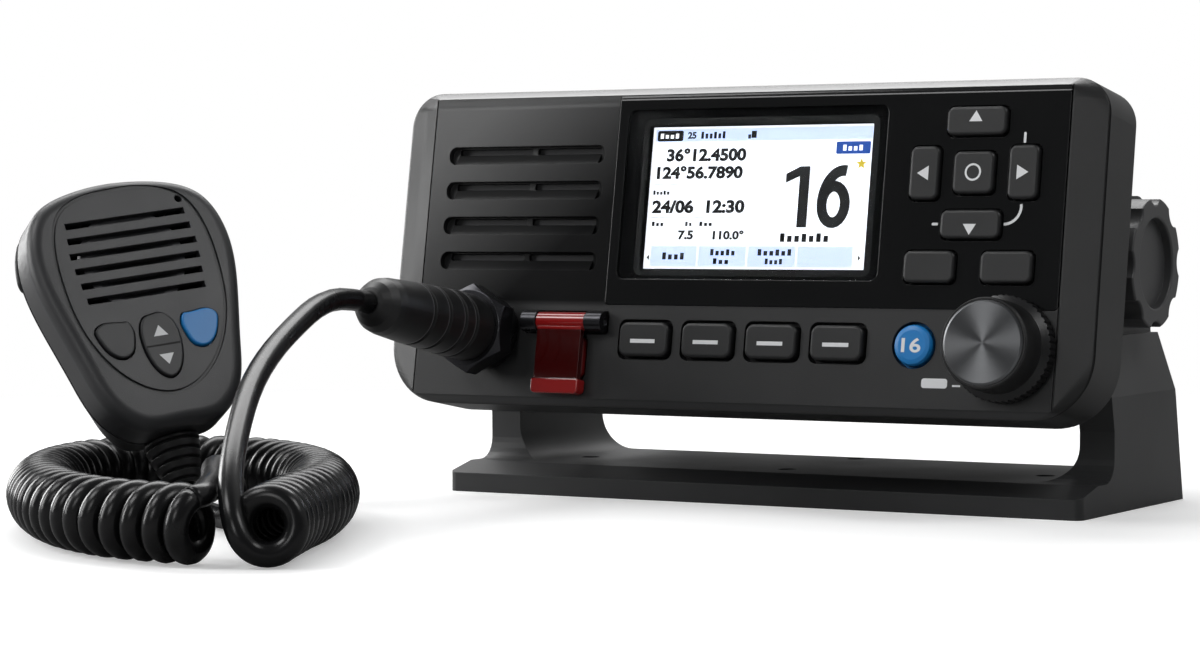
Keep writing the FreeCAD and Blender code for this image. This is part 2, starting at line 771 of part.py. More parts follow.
def front_panel():
    body = new_body("front_panel")
    loft(body, "XZ", [("0", rectangle("0", "0", "panel_width - 2*bevel_reach", "panel_height - 2*bevel_rise",
                                      "face_corner")),
                      ("bevel_fall", face_rectangle("0", "0"))])
    extrude(body, "XZ", "bevel_fall", "panel_depth", [face_rectangle("0", "0")])
    extrude(body, "XZ", "front_wall", "panel_depth + 1",
            [rectangle("0", "0", "panel_width - 2*rim_side", "panel_height - 2*rim_top", "2")], cut=True)
    extrude(body, "XZ", "panel_depth - rebate_depth", "panel_depth + 1",
            [face_rectangle("shell_wall", "shell_wall")], cut=True)
    extrude(body, "XZ", "-1", "deck_thickness", [deck_outline("0")], cut=True)
    for opening in wall_openings():
        extrude(body, "XZ", "-2", "front_wall + 1", [opening], cut=True)
    cut_louvres(body)
    cut_seams(body)
    middle = "(hinge_left + hinge_right)/2"
    extrude(body, "XZ", "-1", "hinge_recess",
            [rectangle(middle, "hinge_up", "hinge_right - hinge_left + 1", "2*knuckle_radius + 0.4", "0.6")],
            cut=True)
    extrude(body, "XZ", "front_wall", MAT_END, [disc(x, z, "post_radius") for x, z in BOARD_POSTS])
    extrude(body, "XZ", "front_wall + 0.8", f"{MAT_END} + 0.5",
            [disc(x, z, "board_screw_radius + seat_gap") for x, z in BOARD_POSTS], cut=True)
    extrude(body, "XZ", "panel_depth - rebate_depth - 6", "panel_depth",
            [disc(x, z, "screw_radius + seat_gap") for x, z in rear_screw_places()], cut=True)
    seat_on_radio(body)


def rear_screw_places():
    across = "(panel_width/2 - rim_side/2 - shell_wall/2 - 0.2)"
    return [(f"{side}*{across}", f"{level}*screw_rise") for side in (-1, 1) for level in (-1, 1)]


def display_panel():
    body = new_body("display_panel")
    extrude(body, "XZ", "0", "deck_thickness", [deck_outline("fit_gap/2"), window_outline("fit_gap/2")])
    for hole in key_holes(KEYS, "key_gap"):
        extrude(body, "XZ", "-1", "deck_thickness + 1", [hole], cut=True)
    seat_on_radio(body)
    body = new_body("window")
    extrude(body, "XZ", "0", "deck_thickness", [window_outline("0")])
    seat_on_radio(body)


def lcd_module():
    body = new_body("lcd_module")
    extrude(body, "XZ", "front_wall + seat_gap", f"{MAT_END} - seat_gap", [lcd_outline("0")])
    seat_on_radio(body)


def lcd_outline(gap):
    return rectangle("screen_across", "screen_up", f"screen_width + 2*(lcd_border + {gap})",
                     f"screen_height + 2*(lcd_border + {gap})", "1")


def encoder_outline(gap):
    size = f"encoder_size + 2*{gap}"
    return rectangle("knob_across", "knob_up", size, size, "0.5")


def key_mat():
    body = new_body("key_mat")
    post_holes = [disc(x, z, "post_radius + 0.2") for x, z in BOARD_POSTS]
    extrude(body, "XZ", MAT_START, MAT_END,
            [board_outline("0.3"), lcd_outline("0.2"), *post_holes])
    extrude(body, "XZ", f"{MAT_START} - 1", f"{MAT_END} + 1", [encoder_outline("0.3")], cut=True)
    seat_on_radio(body)


def front_board():
    body = new_body("front_board")
    holes = [disc(x, z, "board_screw_radius + 0.1") for x, z in BOARD_POSTS]
    extrude(body, "XZ", MAT_END, BOARD_END, [board_outline("0"), *holes])
    seat_on_radio(body)


def cylinder(radius, height):
    item = document.addObject("Part::Cylinder", "cylinder")
    bind(item, "Radius", radius)
    bind(item, "Height", height)
    return item


def screw(shank_radius, shank_length, head_radius, head_height):
    """A pan-head screw that points to -Z, with the underside of its head at its origin."""
    shank = cylinder(shank_radius, shank_length)
    bind(shank, "Placement.Base.z", f"-({shank_length})")
    head = cylinder(head_radius, head_height)
    fused = document.addObject("Part::Fuse", "screw")
    fused.Base = shank
    fused.Tool = head
    return fused


def group(name, items):
    compound = document.addObject("Part::Compound", name)
    compound.Label = name
    compound.Links = items
    nodes.append(compound)
    return compound


def point_forward(item, across, depth, up):
    """Set an item made along Z in the radio's frame, so that its -Z points to the front."""
    item.Placement = Placement(Vector(), Rotation(Vector(-1, 0, 0), 90))
    bind(item, "Placement.Base.x", across)
    bind(item, "Placement.Base.y", depth)
    bind(item, "Placement.Base.z", up)


def radio_screws():
    rear = []
    for across, up in rear_screw_places():
        item = screw("screw_radius", "rebate_depth + 5", "screw_head_radius", "screw_head_height")
        point_forward(item, across, "panel_depth", up)
        rear.append(item)
    seat_on_radio(group("rear_screws", rear))
    small = []
    for across, up in BOARD_POSTS:
        item = screw("board_screw_radius", f"{BOARD_END} - front_wall - 1", "2*board_screw_radius", "1.2")
        point_forward(item, across, BOARD_END, up)
        small.append(item)
    seat_on_radio(group("board_screws", small))


def grille_and_speaker():
    body = new_body("grille_mesh")
    extrude(body, "XZ", "front_wall + seat_gap", "front_wall + seat_gap + mesh_thickness",
            [rectangle("speaker_across", "speaker_up", "mesh_width", "mesh_height", "2")])
    seat_on_radio(body)
    front = "(front_wall + 2*seat_gap + mesh_thickness)"
    frame = new_body("speaker_frame")
    radius, depth = "speaker_radius", "speaker_depth"
    revolve(frame, [(f"{radius} - 2.8", front), (radius, front), (radius, f"{front} + 1.4"),
                    (f"{radius} - 1.2", f"{front} + 1.4"), (f"{radius}*0.58", f"{front} + {depth}*0.53"),
                    (f"{radius}*0.5", f"{front} + {depth}*0.53"), (f"{radius}*0.5", f"{front} + {depth}"),
                    ("0", f"{front} + {depth}"), ("0", f"{front} + {depth}*0.47"),
                    (f"{radius}*0.32", f"{front} + {depth}*0.47"), (f"{radius} - 2.8", f"{front} + 1.6")])
    seat_on_radio(frame, "speaker_across", "0", "speaker_up")
    cone = new_body("speaker_cone")
    rim = f"{radius} - 2.85"
    bottom = f"{front} + {depth}*0.42"
    revolve(cone, [(rim, f"{front} + 0.4"), (rim, f"{front} + 1"), (f"{radius}*0.3", bottom), ("0", bottom),
                   ("0", f"{bottom} - cone_thickness"), (f"{radius}*0.28", f"{bottom} - cone_thickness")])
    seat_on_radio(cone, "speaker_across", "0", "speaker_up")


def distress_cover():
    middle = "(cover_left + cover_right)/2"
    width = "(cover_right - cover_left)"
    top = "(hinge_up - hinge_tube_radius*0.6)"
    body = new_body("distress_cover")
    extrude(body, "YZ", "cover_left", "cover_right", [disc("-hinge_out", "hinge_up", "hinge_tube_radius")])
    extrude(body, "XZ", "-cover_front", "-cover_front + cover_thickness",
            [rectangle(middle, f"({top} + cover_bottom + 0.5)/2", f"{width} - 2*cover_inset",
                       f"{top} - cover_bottom - 0.5", "0.3")])
    extrude(body, "XZ", "-lip_front", "-lip_back",
            [rectangle(middle, "cover_bottom + lip_height/2", width, "lip_height", "0.5", "1.2")])
    round_edges(body, "0.4", at_level("y", "-lip_front"))
    extrude(body, "YZ", "cover_left - 2", "cover_right + 2",
            [disc("-hinge_out", "hinge_up", "hinge_pin_radius + turning_gap")], cut=True)
    seat_on_radio(body)
    hinge = new_body("distress_hinge_pin")
    extrude(hinge, "YZ", "hinge_left + 0.3", "hinge_right - 0.3",
            [disc("-hinge_out", "hinge_up", "hinge_pin_radius")])
    seat_on_radio(hinge)


def knuckle(name, start, end):
    """A hinge knuckle with a foot on the floor of the panel's recess."""
    barrel = cylinder("knuckle_radius", f"{end} - ({start})")
    foot = document.addObject("Part::Box", name + "_foot")
    bind(foot, "Length", "hinge_out + hinge_recess")
    bind(foot, "Width", "3")
    bind(foot, "Height", f"{end} - ({start})")
    bind(foot, "Placement.Base.y", "-1.5")
    whole = document.addObject("Part::Fuse", name + "_solid")
    whole.Base = barrel
    whole.Tool = foot
    bore = cylinder("hinge_pin_radius + turning_gap/2", f"{end} - ({start}) + 2")
    bind(bore, "Placement.Base.z", "-1")
    cut = document.addObject("Part::Cut", name)
    cut.Base = whole
    cut.Tool = bore
    cut.Placement = Placement(Vector(), Rotation(Vector(0, 1, 0), Vector(0, 0, 1), Vector(1, 0, 0), "ZXY"))
    bind(cut, "Placement.Base.x", start)
    bind(cut, "Placement.Base.y", "-hinge_out")
    bind(cut, "Placement.Base.z", "hinge_up")
    return cut


def cover_hinge():
    left = knuckle("left_knuckle", "hinge_left", "cover_left - hinge_gap")
    right = knuckle("right_knuckle", "cover_right + hinge_gap", "hinge_right")
    seat_on_radio(group("cover_hinge", [left, right]))


def volume_knob():
    encoder = new_body("encoder")
    extrude(encoder, "XZ", "front_wall + seat_gap", f"{MAT_END} - seat_gap", [encoder_outline("0")])
    extrude(encoder, "XZ", "-1.2", "front_wall + 1", [disc("knob_across", "knob_up", "bush_radius")])
    extrude(encoder, "XZ", "-2", f"{MAT_END} - 0.4",
            [disc("knob_across", "knob_up", "shaft_radius + turning_gap")], cut=True)
    seat_on_radio(encoder)
    shaft = new_body("encoder_shaft")
    extrude(shaft, "XZ", "-knob_reach + 2", f"{MAT_END} - 1.2",
            [disc("knob_across", "knob_up", "shaft_radius")])
    seat_on_radio(shaft)
    barrel = new_body("knob_barrel")
    bore, rim = "shaft_radius + turning_gap", "knob_radius"
    floor = "-knob_reach + cap_depth"
    revolve(barrel, [(bore, "-knob_reach + 2 - 0.1"), ("0", "-knob_reach + 2 - 0.1"), ("0", floor),
                     ("cap_radius + 0.05", floor), ("cap_radius + 0.05", "-knob_reach + 0.4"),
                     (rim, "-knob_reach + 0.4"), (f"{rim} + 0.2", "-knob_reach + 0.8"),
                     (f"{rim} + 0.4", "-skirt_gap - skirt_depth - 1.2"),
                     ("skirt_radius", "-skirt_gap - skirt_depth"), ("skirt_radius", "-skirt_gap"),
                     ("bush_radius + 0.4", "-skirt_gap"), ("bush_radius + 0.4", "-skirt_gap - 1.6"),
                     (bore, "-skirt_gap - 1.6")])
    groove = extrude(barrel, "XZ", "-skirt_gap - skirt_depth - 0.5", "-skirt_gap + 0.5",
                     [disc("skirt_radius + 0.15", "0", "knurl_radius")], cut=True)
    repeat_round(barrel, groove, "Y_Axis", KNURLS)
    seat_on_radio(barrel, "knob_across", "0", "knob_up")
    cap = new_body("knob_cap")
    revolve(cap, [("0", "-knob_reach"), ("cap_radius - 0.5", "-knob_reach"),
                  ("cap_radius", "-knob_reach + 0.3"), ("cap_radius", floor), ("0", floor)])
    seat_on_radio(cap, "knob_across", "0", "knob_up")


def microphone_plug():
    socket = new_body("mic_socket")
    radius = "collar_radius"
    floor = "front_wall + 1.5"
    revolve(socket, [(radius, "0"), (radius, "-collar_depth + 0.4"), (f"{radius} - 0.4", "-collar_depth"),
                     ("core_radius + 0.1", "-collar_depth"), ("core_radius + 0.1", floor),
                     ("0", floor), ("0", f"{floor} + 5"), ("core_radius + 1", f"{floor} + 5"),
                     ("core_radius + 1", f"{floor} + 1"), (f"{radius} + 0.5", f"{floor} + 1"),
                     (f"{radius} + 0.5", "front_wall + seat_gap"),
                     (f"{radius} - 1.5", "front_wall + seat_gap"), (f"{radius} - 1.5", "0")])
    seat_on_radio(socket, "plug_across", "0", "plug_up")
    nut = new_body("plug_nut")
    back, front = "-collar_depth - seat_gap", "-collar_depth - nut_length"
    corners = [(f"nut_radius*{round(math.sin(math.radians(60 * step)), 5)}",
                f"nut_radius*{round(math.cos(math.radians(60 * step)), 5)}") for step in range(6)]
    extrude(nut, "XZ", front, back, [polygon(corners)])
    shoulder = f"{front} + nut_length*0.25"
    revolve(nut, [("nut_radius*0.84", f"{front} - 1"), ("nut_radius*1.2", f"{front} - 1"),
                  ("nut_radius*1.2", shoulder), ("nut_radius*1.01", shoulder), ("nut_radius*0.84", front)],
            cut=True)
    extrude(nut, "XZ", f"{front} - 1", f"{back} + 1", [disc("0", "0", "core_radius + turning_gap")], cut=True)
    seat_on_radio(nut, "plug_across", "0", "plug_up")
    boot = new_body("plug_boot")
    start = f"({front} - 0.1)"
    end = f"({start} - boot_length)"
    wide, tip = "boot_radius", "boot_end_radius"
    outline = [("0", "front_wall + 1"), ("core_radius", "front_wall + 1"), ("core_radius", start),
               (wide, start)]
    for share, taper in BOOT_GROOVES:
        seam = f"{start} - boot_length*{share}"
        radius = f"{wide} - {taper}"
        outline += [(radius, f"{seam} + 0.7"), (f"{radius} - boot_groove", f"{seam} + 0.3"),
                    (f"{radius} - boot_groove", f"{seam} - 0.3"), (radius, f"{seam} - 0.5")]
    outline += [(tip, f"{end} + {tip}*0.95"), (f"{tip}*0.94", f"{end} + {tip}*0.6"),
                (f"{tip}*0.78", f"{end} + {tip}*0.3"), (f"{tip}*0.55", f"{end} + {tip}*0.08"),
                (f"{tip}*0.42", end), ("0", end)]
    revolve(boot, outline)
    seat_on_radio(boot, "plug_across", "0", "plug_up")


def gasket():
    body = new_body("body_gasket")
    start = "panel_depth - rebate_depth"
    holes = [disc(x, z, "screw_radius + 0.2") for x, z in rear_screw_places()]
    extrude(body, "XZ", start, f"{start} + gasket_thickness",
            [face_rectangle("shell_wall", "shell_wall", "fit_gap"),
             rectangle("0", "0", "panel_width - 2*rim_side", "panel_height - 2*rim_top", "2"), *holes])
    seat_on_radio(body)


def rear_chassis():
    body = new_body("rear_chassis")
    start = "panel_depth - rebate_depth + gasket_thickness"
    extrude(body, "XZ", start, "panel_depth", [face_rectangle("shell_wall", "shell_wall", "fit_gap")])
    extrude(body, "XZ", "panel_depth", "body_rear",
            [rectangle("0", "body_rise", "body_width", "body_height", "body_corner")])
    round_edges(body, "body_rear_round", at_level("y", "body_rear"))
    half = "fin_thickness/2"
    for number in range(-FINS_EACH_SIDE, FINS_EACH_SIDE + 1):
        fin = rectangle(f"{number}*fin_pitch", "body_rise", "fin_thickness", "body_height - fin_margin",
                        half + "*0.9")
        extrude(body, "XZ", "body_rear - 1", "body_rear + fin_depth", [fin])
    extrude(body, "XZ", f"{start} - 1", "body_rear - rear_wall",
            [rectangle("0", "body_rise", "body_width - 2*body_wall", "body_height - 2*body_wall",
                       "body_inner_corner")], cut=True)
    boss = disc("pivot_depth", "pivot_rise", "boss_radius")
    bore = disc("pivot_depth", "pivot_rise", "clamp_screw_radius + seat_gap")
    extrude(body, "YZ", "-boss_reach", "-boss_end", [boss])
    extrude(body, "YZ", "boss_end", "boss_reach", [boss])
    extrude(body, "YZ", "-boss_reach - 1", "-clamp_screw_end + 1", [bore], cut=True)
    extrude(body, "YZ", "clamp_screw_end - 1", "boss_reach + 1", [bore], cut=True)
    floor = "body_rise - body_height/2 + body_wall"
    extrude(body, "XY", f"{floor} - 0.5", f"{floor} + main_post_height",
            [disc(x, y, "3") for x, y in main_post_places()])
    extrude(body, "XZ", "panel_depth - rebate_depth", "panel_depth + 1",
            [disc(x, z, "screw_radius + 0.2") for x, z in rear_screw_places()], cut=True)
    seat_on_radio(body)


def main_post_places():
    front = "panel_depth + 9"
    rear = "panel_depth + 9 + main_board_length - 12"
    return [(f"{side}*(main_board_width/2 - 6)", level) for side in (-1, 1) for level in (front, rear)]


def main_board():
    level = "body_rise - body_height/2 + body_wall + main_post_height"
    middle = "panel_depth + board_gap + main_board_length/2"
    body = new_body("main_board")
    extrude(body, "XY", level, f"{level} + board_thickness",
            [rectangle("0", middle, "main_board_width", "main_board_length", "board_corner")])
    seat_on_radio(body)
    shield = new_body("rf_shield")
    top = f"{level} + board_thickness"
    extrude(shield, "XY", top, f"{top} + shield_height",
            [rectangle("0", middle, "shield_width", "shield_length", "board_corner")])
    extrude(shield, "XY", f"{top} - 1", f"{top} + shield_height - shield_wall",
            [rectangle("0", middle, "shield_width - 2*shield_wall", "shield_length - 2*shield_wall",
                       "board_corner/2")], cut=True)
    seat_on_radio(shield)


def rear_connectors():
    antenna = new_body("antenna_socket")
    extrude(antenna, "XZ", "body_rear", "body_rear + 2.5",
            [rectangle("connector_spread", "0", "antenna_flange", "antenna_flange", "2")])
    extrude(antenna, "XZ", "body_rear", "body_rear + antenna_length",
            [disc("connector_spread", "0", "antenna_radius")])
    extrude(antenna, "XZ", "body_rear + 4", "body_rear + antenna_length + 1",
            [disc("connector_spread", "0", "antenna_radius - 2")], cut=True)
    seat_on_radio(antenna)
    data = new_body("data_connector")
    extrude(data, "XZ", "body_rear", "body_rear + connector_length",
            [disc("-connector_spread", "connector_rise", "connector_radius")])
    extrude(data, "XZ", "body_rear + 3", "body_rear + connector_length + 1",
            [disc("-connector_spread", "connector_rise", "connector_radius - 1.4")], cut=True)
    seat_on_radio(data)
    gland = new_body("power_gland")
    radius = "connector_radius"
    revolve(gland, [("3", "body_rear"), (radius, "body_rear"), (radius, "body_rear + 6"),
                    (f"{radius} - 0.8", "body_rear + 7"), (f"{radius} - 2.6", "body_rear + 14"),
                    ("3", "body_rear + 14")])
    seat_on_radio(gland, "-connector_spread", "0", "-connector_rise")


# ---------------------------------------------------------------- bracket

ARM_INNER = "(boss_reach + arm_gap)"


def arm_front_profile():
    """What is cut away in front of the arms, down to the base's sloping front."""
    front, top = "-base_depth/2", "arm_top + 2"
    points = [(f"{front} - 1", "base_lip"), (front, "base_lip"), (f"{front} + base_slope", "base_height")]
    for step in range(ROOT_STEPS + 1):
        turn = math.radians(90 * step / ROOT_STEPS)
        along_base, up_arm = round(1 - math.sin(turn), 4), round(1 - math.cos(turn), 4)
        points.append((f"-arm_waist_front - arm_front_round*{along_base}",
                       f"base_height + arm_front_round*{up_arm}"))
    return points + [("-arm_waist_front", "arm_waist_top"), ("-arm_crease_front", "arm_crease"),
                     ("-arm_ledge_front", "arm_ledge"), ("-arm_front", "arm_top - arm_flat_front"),
                     ("-arm_front", top), (f"{front} - 1", top)]


def arm_rear_profile():
    rear, top = "base_depth/2", "arm_top + 2"
    return [(f"{rear} + 1", "-1"), (rear, "0"), ("arm_crease_rear", "arm_crease - 2"),
            ("arm_ledge_rear", "arm_ledge"), ("arm_rear", "arm_top - arm_flat_rear"), ("arm_rear", top),
            (f"{rear} + 1", top)]


def bracket():
    """A U-shaped section pushed through from front to rear, then cut to the arms' profile."""
    inner, outer = ARM_INNER, f"({ARM_INNER} + arm_foot)"
    half = [(outer, "0"), (outer, "arm_crease"), (f"{ARM_INNER} + arm_shoulder", "arm_ledge"),
            (f"{ARM_INNER} + arm_plate", "arm_ledge"), (f"{ARM_INNER} + arm_plate", "arm_top"),
            (inner, "arm_top"), (inner, "base_height")]
    section = half + [(f"-({x})", z) for x, z in reversed(half)]
    body = new_body("bracket")
    extrude(body, "XZ", "-base_depth/2", "base_depth/2", [polygon(section)])
    plateau, side = value("base_height"), value(ARM_INNER)
    round_edges(body, "arm_root_round", lambda edge: along(edge, "y")
                and abs(edge.BoundBox.ZMin - plateau) < 1e-3 and abs(abs(edge.BoundBox.XMin) - side) < 1e-3)
    for profile in (arm_front_profile(), arm_rear_profile()):
        extrude(body, "YZ", f"-({outer}) - 1", f"{outer} + 1", [polygon(profile)], cut=True)
    summit = value("arm_top")
    round_edges(body, "arm_top_round",
                lambda edge: along(edge, "x") and abs(edge.BoundBox.ZMin - summit) < 1e-3)
    edge_y = value("-base_depth/2")
    round_edges(body, "base_corner",
                lambda edge: along(edge, "z") and abs(edge.BoundBox.YMin - edge_y) < 1e-3)
    cell = "(side_hole_spread - 3*hole_radius - base_rib)"
    for side in (-1, 1):
        for level in ("-base_depth/4 + 3", "base_depth/4 - 3"):
            hollow = rectangle(f"{side}*({cell}/2 + base_rib/2 + 4)", level, f"{cell} - 8",
                               "base_depth/2 - 14", "2")
            extrude(body, "XY", "-1", "base_hollow", [hollow], cut=True)
    extrude(body, "XY", "-1", "base_height + 2",
            [disc("-side_hole_spread", "0", "hole_radius"), disc("side_hole_spread", "0", "hole_radius"),
             disc("0", "centre_hole_front", "hole_radius"), disc("0", "centre_hole_rear", "hole_radius")],
            cut=True)
    extrude(body, "YZ", f"-({outer}) - 1", f"{outer} + 1",
            [disc("pivot_offset", "pivot_height", "clamp_screw_radius + clamp_screw_gap")], cut=True)


def clamp_knob(name, side):
    """A clamp knob moulded round its screw, made along +X from the arm and turned round for the left."""
    knob = new_body("clamp_knob_" + name)
    extrude(knob, "YZ", "0", "clamp_depth", [disc("0", "0", "clamp_radius")])
    extrude(knob, "YZ", "clamp_depth - clamp_dish_depth", "clamp_depth + 1",
            [disc("0", "0", "clamp_dish_radius")], cut=True)
    scallop = extrude(knob, "YZ", "-1", "clamp_depth + 1",
                      [disc("clamp_radius + scallop_radius - scallop_bite", "0", "scallop_radius")], cut=True)
    repeat_round(knob, scallop, "X_Axis", SCALLOPS)
    round_edges(knob, "0.5", at_level("x", "clamp_depth"))
    seat = f"({ARM_INNER} + arm_plate + clamp_gap)"
    extrude(knob, "YZ", f"clamp_screw_end - {seat}", "1", [disc("0", "0", "clamp_screw_radius")])
    knob.Placement = Placement(Vector(), Rotation(Vector(0, 0, 1), 0 if side > 0 else 180))
    bind(knob, "Placement.Base.x", f"{side}*{seat}")
    bind(knob, "Placement.Base.y", "pivot_offset")
    bind(knob, "Placement.Base.z", "pivot_height")


def tilt_washers():
    rings = []
    for side in (-1, 1):
        ring = document.addObject("Part::Cut", "washer")
        ring.Base = cylinder("washer_radius", "arm_gap - 0.2")
        ring.Tool = cylinder("clamp_screw_radius + seat_gap", "arm_gap")
        ring.Placement = Placement(Vector(), Rotation(Vector(0, 1, 0), 90))
        bind(ring, "Placement.Base.x", "boss_reach + 0.1" if side > 0 else "-boss_reach - arm_gap + 0.1")
        bind(ring, "Placement.Base.y", "pivot_offset")
        bind(ring, "Placement.Base.z", "pivot_height")
        rings.append(ring)
    group("tilt_washers", rings)


# ---------------------------------------------------------------- microphone

def mic_edges(shape, level):
    return [edge for edge in shape.Edges
            if abs(edge.BoundBox.YMin - level) < 1e-3 and abs(edge.BoundBox.YMax - level) < 1e-3]


def mic_key_outlines():
    """Name and outline of the microphone's three keys."""
    return [("mic_key_power", [(-across, up) for across, up in SIDE_KEY]),
            ("mic_rocker", mirrored(ROCKER)),
            ("mic_key_channel", SIDE_KEY)]


def mic_slots():
    slots = []
    for number in range(MIC_SLOTS):
        level = value("mic_slot_top") - number * value("mic_slot_pitch")
        half = value("mic_slot_half") - 0.4 * abs(number - 2.2)
        slots.append(mic_box(0, level, 2 * half, value("mic_slot_height"), -1, value("mic_wall") + 1))
    slots.append(pin(Vector(value("mic_slot_half") - 1.4, 0, value("mic_slot_top") + 3), 0.9, -1,
                     value("mic_wall") + 1))
    return slots


def ptt_block(margin, reach):
    """A rounded bar across the left side wall of the rear cover, in the push-to-talk button's place."""
    start = value("ptt_start") - margin
    block = mic_box(-value("mic_width") / 2, value("ptt_up"), reach, value("ptt_height") + 2 * margin,
                    start, start + value("ptt_depth") + 2 * margin)
    crosswise = [edge for edge in block.Edges if abs(edge.BoundBox.XLength - reach) < 1e-3]
    return block.makeFillet(value("ptt_corner") + margin, crosswise)


def relief_levels():
    """Where the relief's cone ends below the covers, and its flange's lower and upper faces."""
    top = value("mic_height") * MIC_OUTLINE[-1][1] - value("relief_gap")
    flange = top + value("mic_wall") + 0.6
    return top, flange, flange + 0.8


def relief_hole(gap):
    """The hole for the relief's neck, with a pocket inside it for the flange."""
    centre, upright = Vector(0, value("relief_depth"), 0), Vector(0, 0, 1)
    top, lower, upper = relief_levels()
    radius = value("relief_neck_radius")
    neck = pin(centre, radius + gap, top - 1, upper, upright)
    return neck.fuse(pin(centre, radius + value("relief_flange") + 0.25, lower - 0.1, upper + 0.15, upright))


def mic_posts(radius, start, end):
    return [pin(Vector(across, 0, up), radius, start, end) for across, up in MIC_SCREWS]


def mic_front_cover():
    depth, wall = value("mic_front_depth"), value("mic_wall")
    cover = mic_slab(0, 0, depth)
    cover = cover.makeFillet(value("mic_front_round"), mic_edges(cover, 0))
    cover = cover.cut(mic_slab(wall, wall, depth + 1))
    ring, floor = mirrored(FACE_GROOVE), value("groove_depth")
    groove = plate(smooth_face(grown(ring, value("groove_width"))), -1, floor)
    groove = groove.cut(plate(smooth_face(ring), -2, floor + 1))
    cover = cover.fuse([post.common(mic_slab(0.5, 0, depth)) for post in mic_posts(2.4, wall - 0.5, depth)])
    holes = [plate(smooth_face(grown(outline, value("mic_key_gap"))), -1, wall + 1)
             for _, outline in mic_key_outlines()]
    cover = cover.cut([groove, *mic_slots(), *holes, relief_hole(0.05),
                       *mic_posts(value("mic_screw_radius + seat_gap"), wall + 1, depth + 1)])
    return mic_part("mic_front_cover", cover)


def mic_rear_cover():
    start, end, wall = value("mic_front_depth + mic_seam"), value("mic_depth"), value("mic_wall")
    cover = mic_taper(0, start, end)
    cover = cover.makeFillet(value("mic_rear_round"), mic_edges(cover, end))
    cover = cover.cut(mic_taper(wall, start - 1, end - wall))
    core = mic_taper(0.5, start, end - 1)
    cover = cover.fuse([post.common(core) for post in mic_posts(2.9, start, end)])
    radius = value("mic_screw_radius")
    bores = mic_posts(radius + 0.15, start - 1, end + 1)
    head_bores = mic_posts(2 * radius + 0.2, value("mic_screw_seat"), end + 1)
    ptt_hole = ptt_block(value("ptt_gap"), PTT_REACH + PTT_ROOM)
    cover = cover.cut([ptt_hole, relief_hole(0.05), *bores, *head_bores])
    mic_part("mic_rear_cover", cover)
    start = value("mic_front_depth")
    seal = mic_slab(0.6, start, start + value("mic_seam")).cut(mic_slab(wall + 0.3, start - 1, start + 2))
    seal = seal.cut([relief_hole(0.05), *mic_posts(3, start - 1, start + 2)])
    mic_part("mic_gasket", seal)


def mic_keys():
    wall, proud = value("mic_wall"), value("mic_key_proud")
    back = wall + 1.2
    for name, outline in mic_key_outlines():
        cap = plate(smooth_face(outline), -proud, back)
        cap = cap.makeFillet(0.4, mic_edges(cap, -proud))
        if name == "mic_rocker":
            cap = cap.fuse(rocker_lugs())
        else:
            cap = cap.fuse(plate(smooth_face(grown(outline, value("mic_key_flange"))), wall + 0.2, back))
        mic_part(name, cap)


def rocker_pin(radius, half_length):
    centre = Vector(0, value("mic_wall") + 2.1, value("rocker_up"))
    return pin(centre, radius, -half_length, half_length, Vector(1, 0, 0))


def rocker_lugs():
    """The rocker's pin and the two lugs that carry it."""
    wall = value("mic_wall")
    lugs = [mic_box(side * 2.8, value("rocker_up"), 1.4, 2.4, wall + 1, wall + 2.9) for side in (-1, 1)]
    return [rocker_pin(value("rocker_pin_radius"), 3.4), *lugs]


def mic_board():
    """The board behind the keys, with the post that carries the rocker's pin."""
    wall, up = value("mic_wall"), value("rocker_up")
    start = wall + 3.4
    inner = mic_slab(wall + 0.6, start, start + 1.4)
    top, bottom = value("mic_board_top"), value("mic_board_bottom")
    board = inner.common(mic_box(0, (top + bottom) / 2, 60, top - bottom, start, start + 1.4))
    post = mic_box(0, up, 3.4, 2.6, wall + 1.3, start)
    board = board.fuse(post)
    board = board.cut([rocker_pin(value("rocker_pin_radius + turning_gap"), 5),
                       *mic_posts(2.7, start - 1, start + 3)])
    mic_part("mic_board", board)


def mic_speaker():
    centre = Vector(0, 0, value("mic_speaker_up"))
    start, radius = value("mic_wall") + 0.1, value("mic_speaker_radius")
    ring = pin(centre, radius, start, start + 2.4)
    magnet = pin(centre, radius * 0.6, start, start + 5.4)
    dish = Part.makeCone(radius * 0.86, radius * 0.3, 1.6, centre + Vector(0, start, 0), Vector(0, 1, 0))
    mic_part("mic_speaker", ring.fuse(magnet).cut(dish))


def mic_ptt_button():
    """A rounded bar that slides through the rear cover's left side, with a foot inside the wall."""
    start, end = value("mic_front_depth + mic_seam"), value("mic_depth")
    inside = value("mic_wall + ptt_gap")
    core = mic_taper(inside + value("ptt_foot"), start - 1, end)
    bar = ptt_block(0, PTT_REACH).common(mic_taper(-value("ptt_proud"), start - 1, end)).cut(core)
    outer = [edge for edge in bar.Edges if edge.BoundBox.XMax < bar.BoundBox.XMin + 5 and edge.Length > 1]
    bar = bar.makeFillet(value("ptt_round"), outer)
    foot = mic_box(-value("mic_width") / 2, value("ptt_up"), PTT_REACH, value("ptt_height") + 2.4,
                   value("ptt_start"), value("ptt_start") + value("ptt_depth"))
    foot = foot.common(mic_taper(inside, start - 1, end)).cut(core)
    mic_part("mic_ptt_button", bar.fuse(foot))


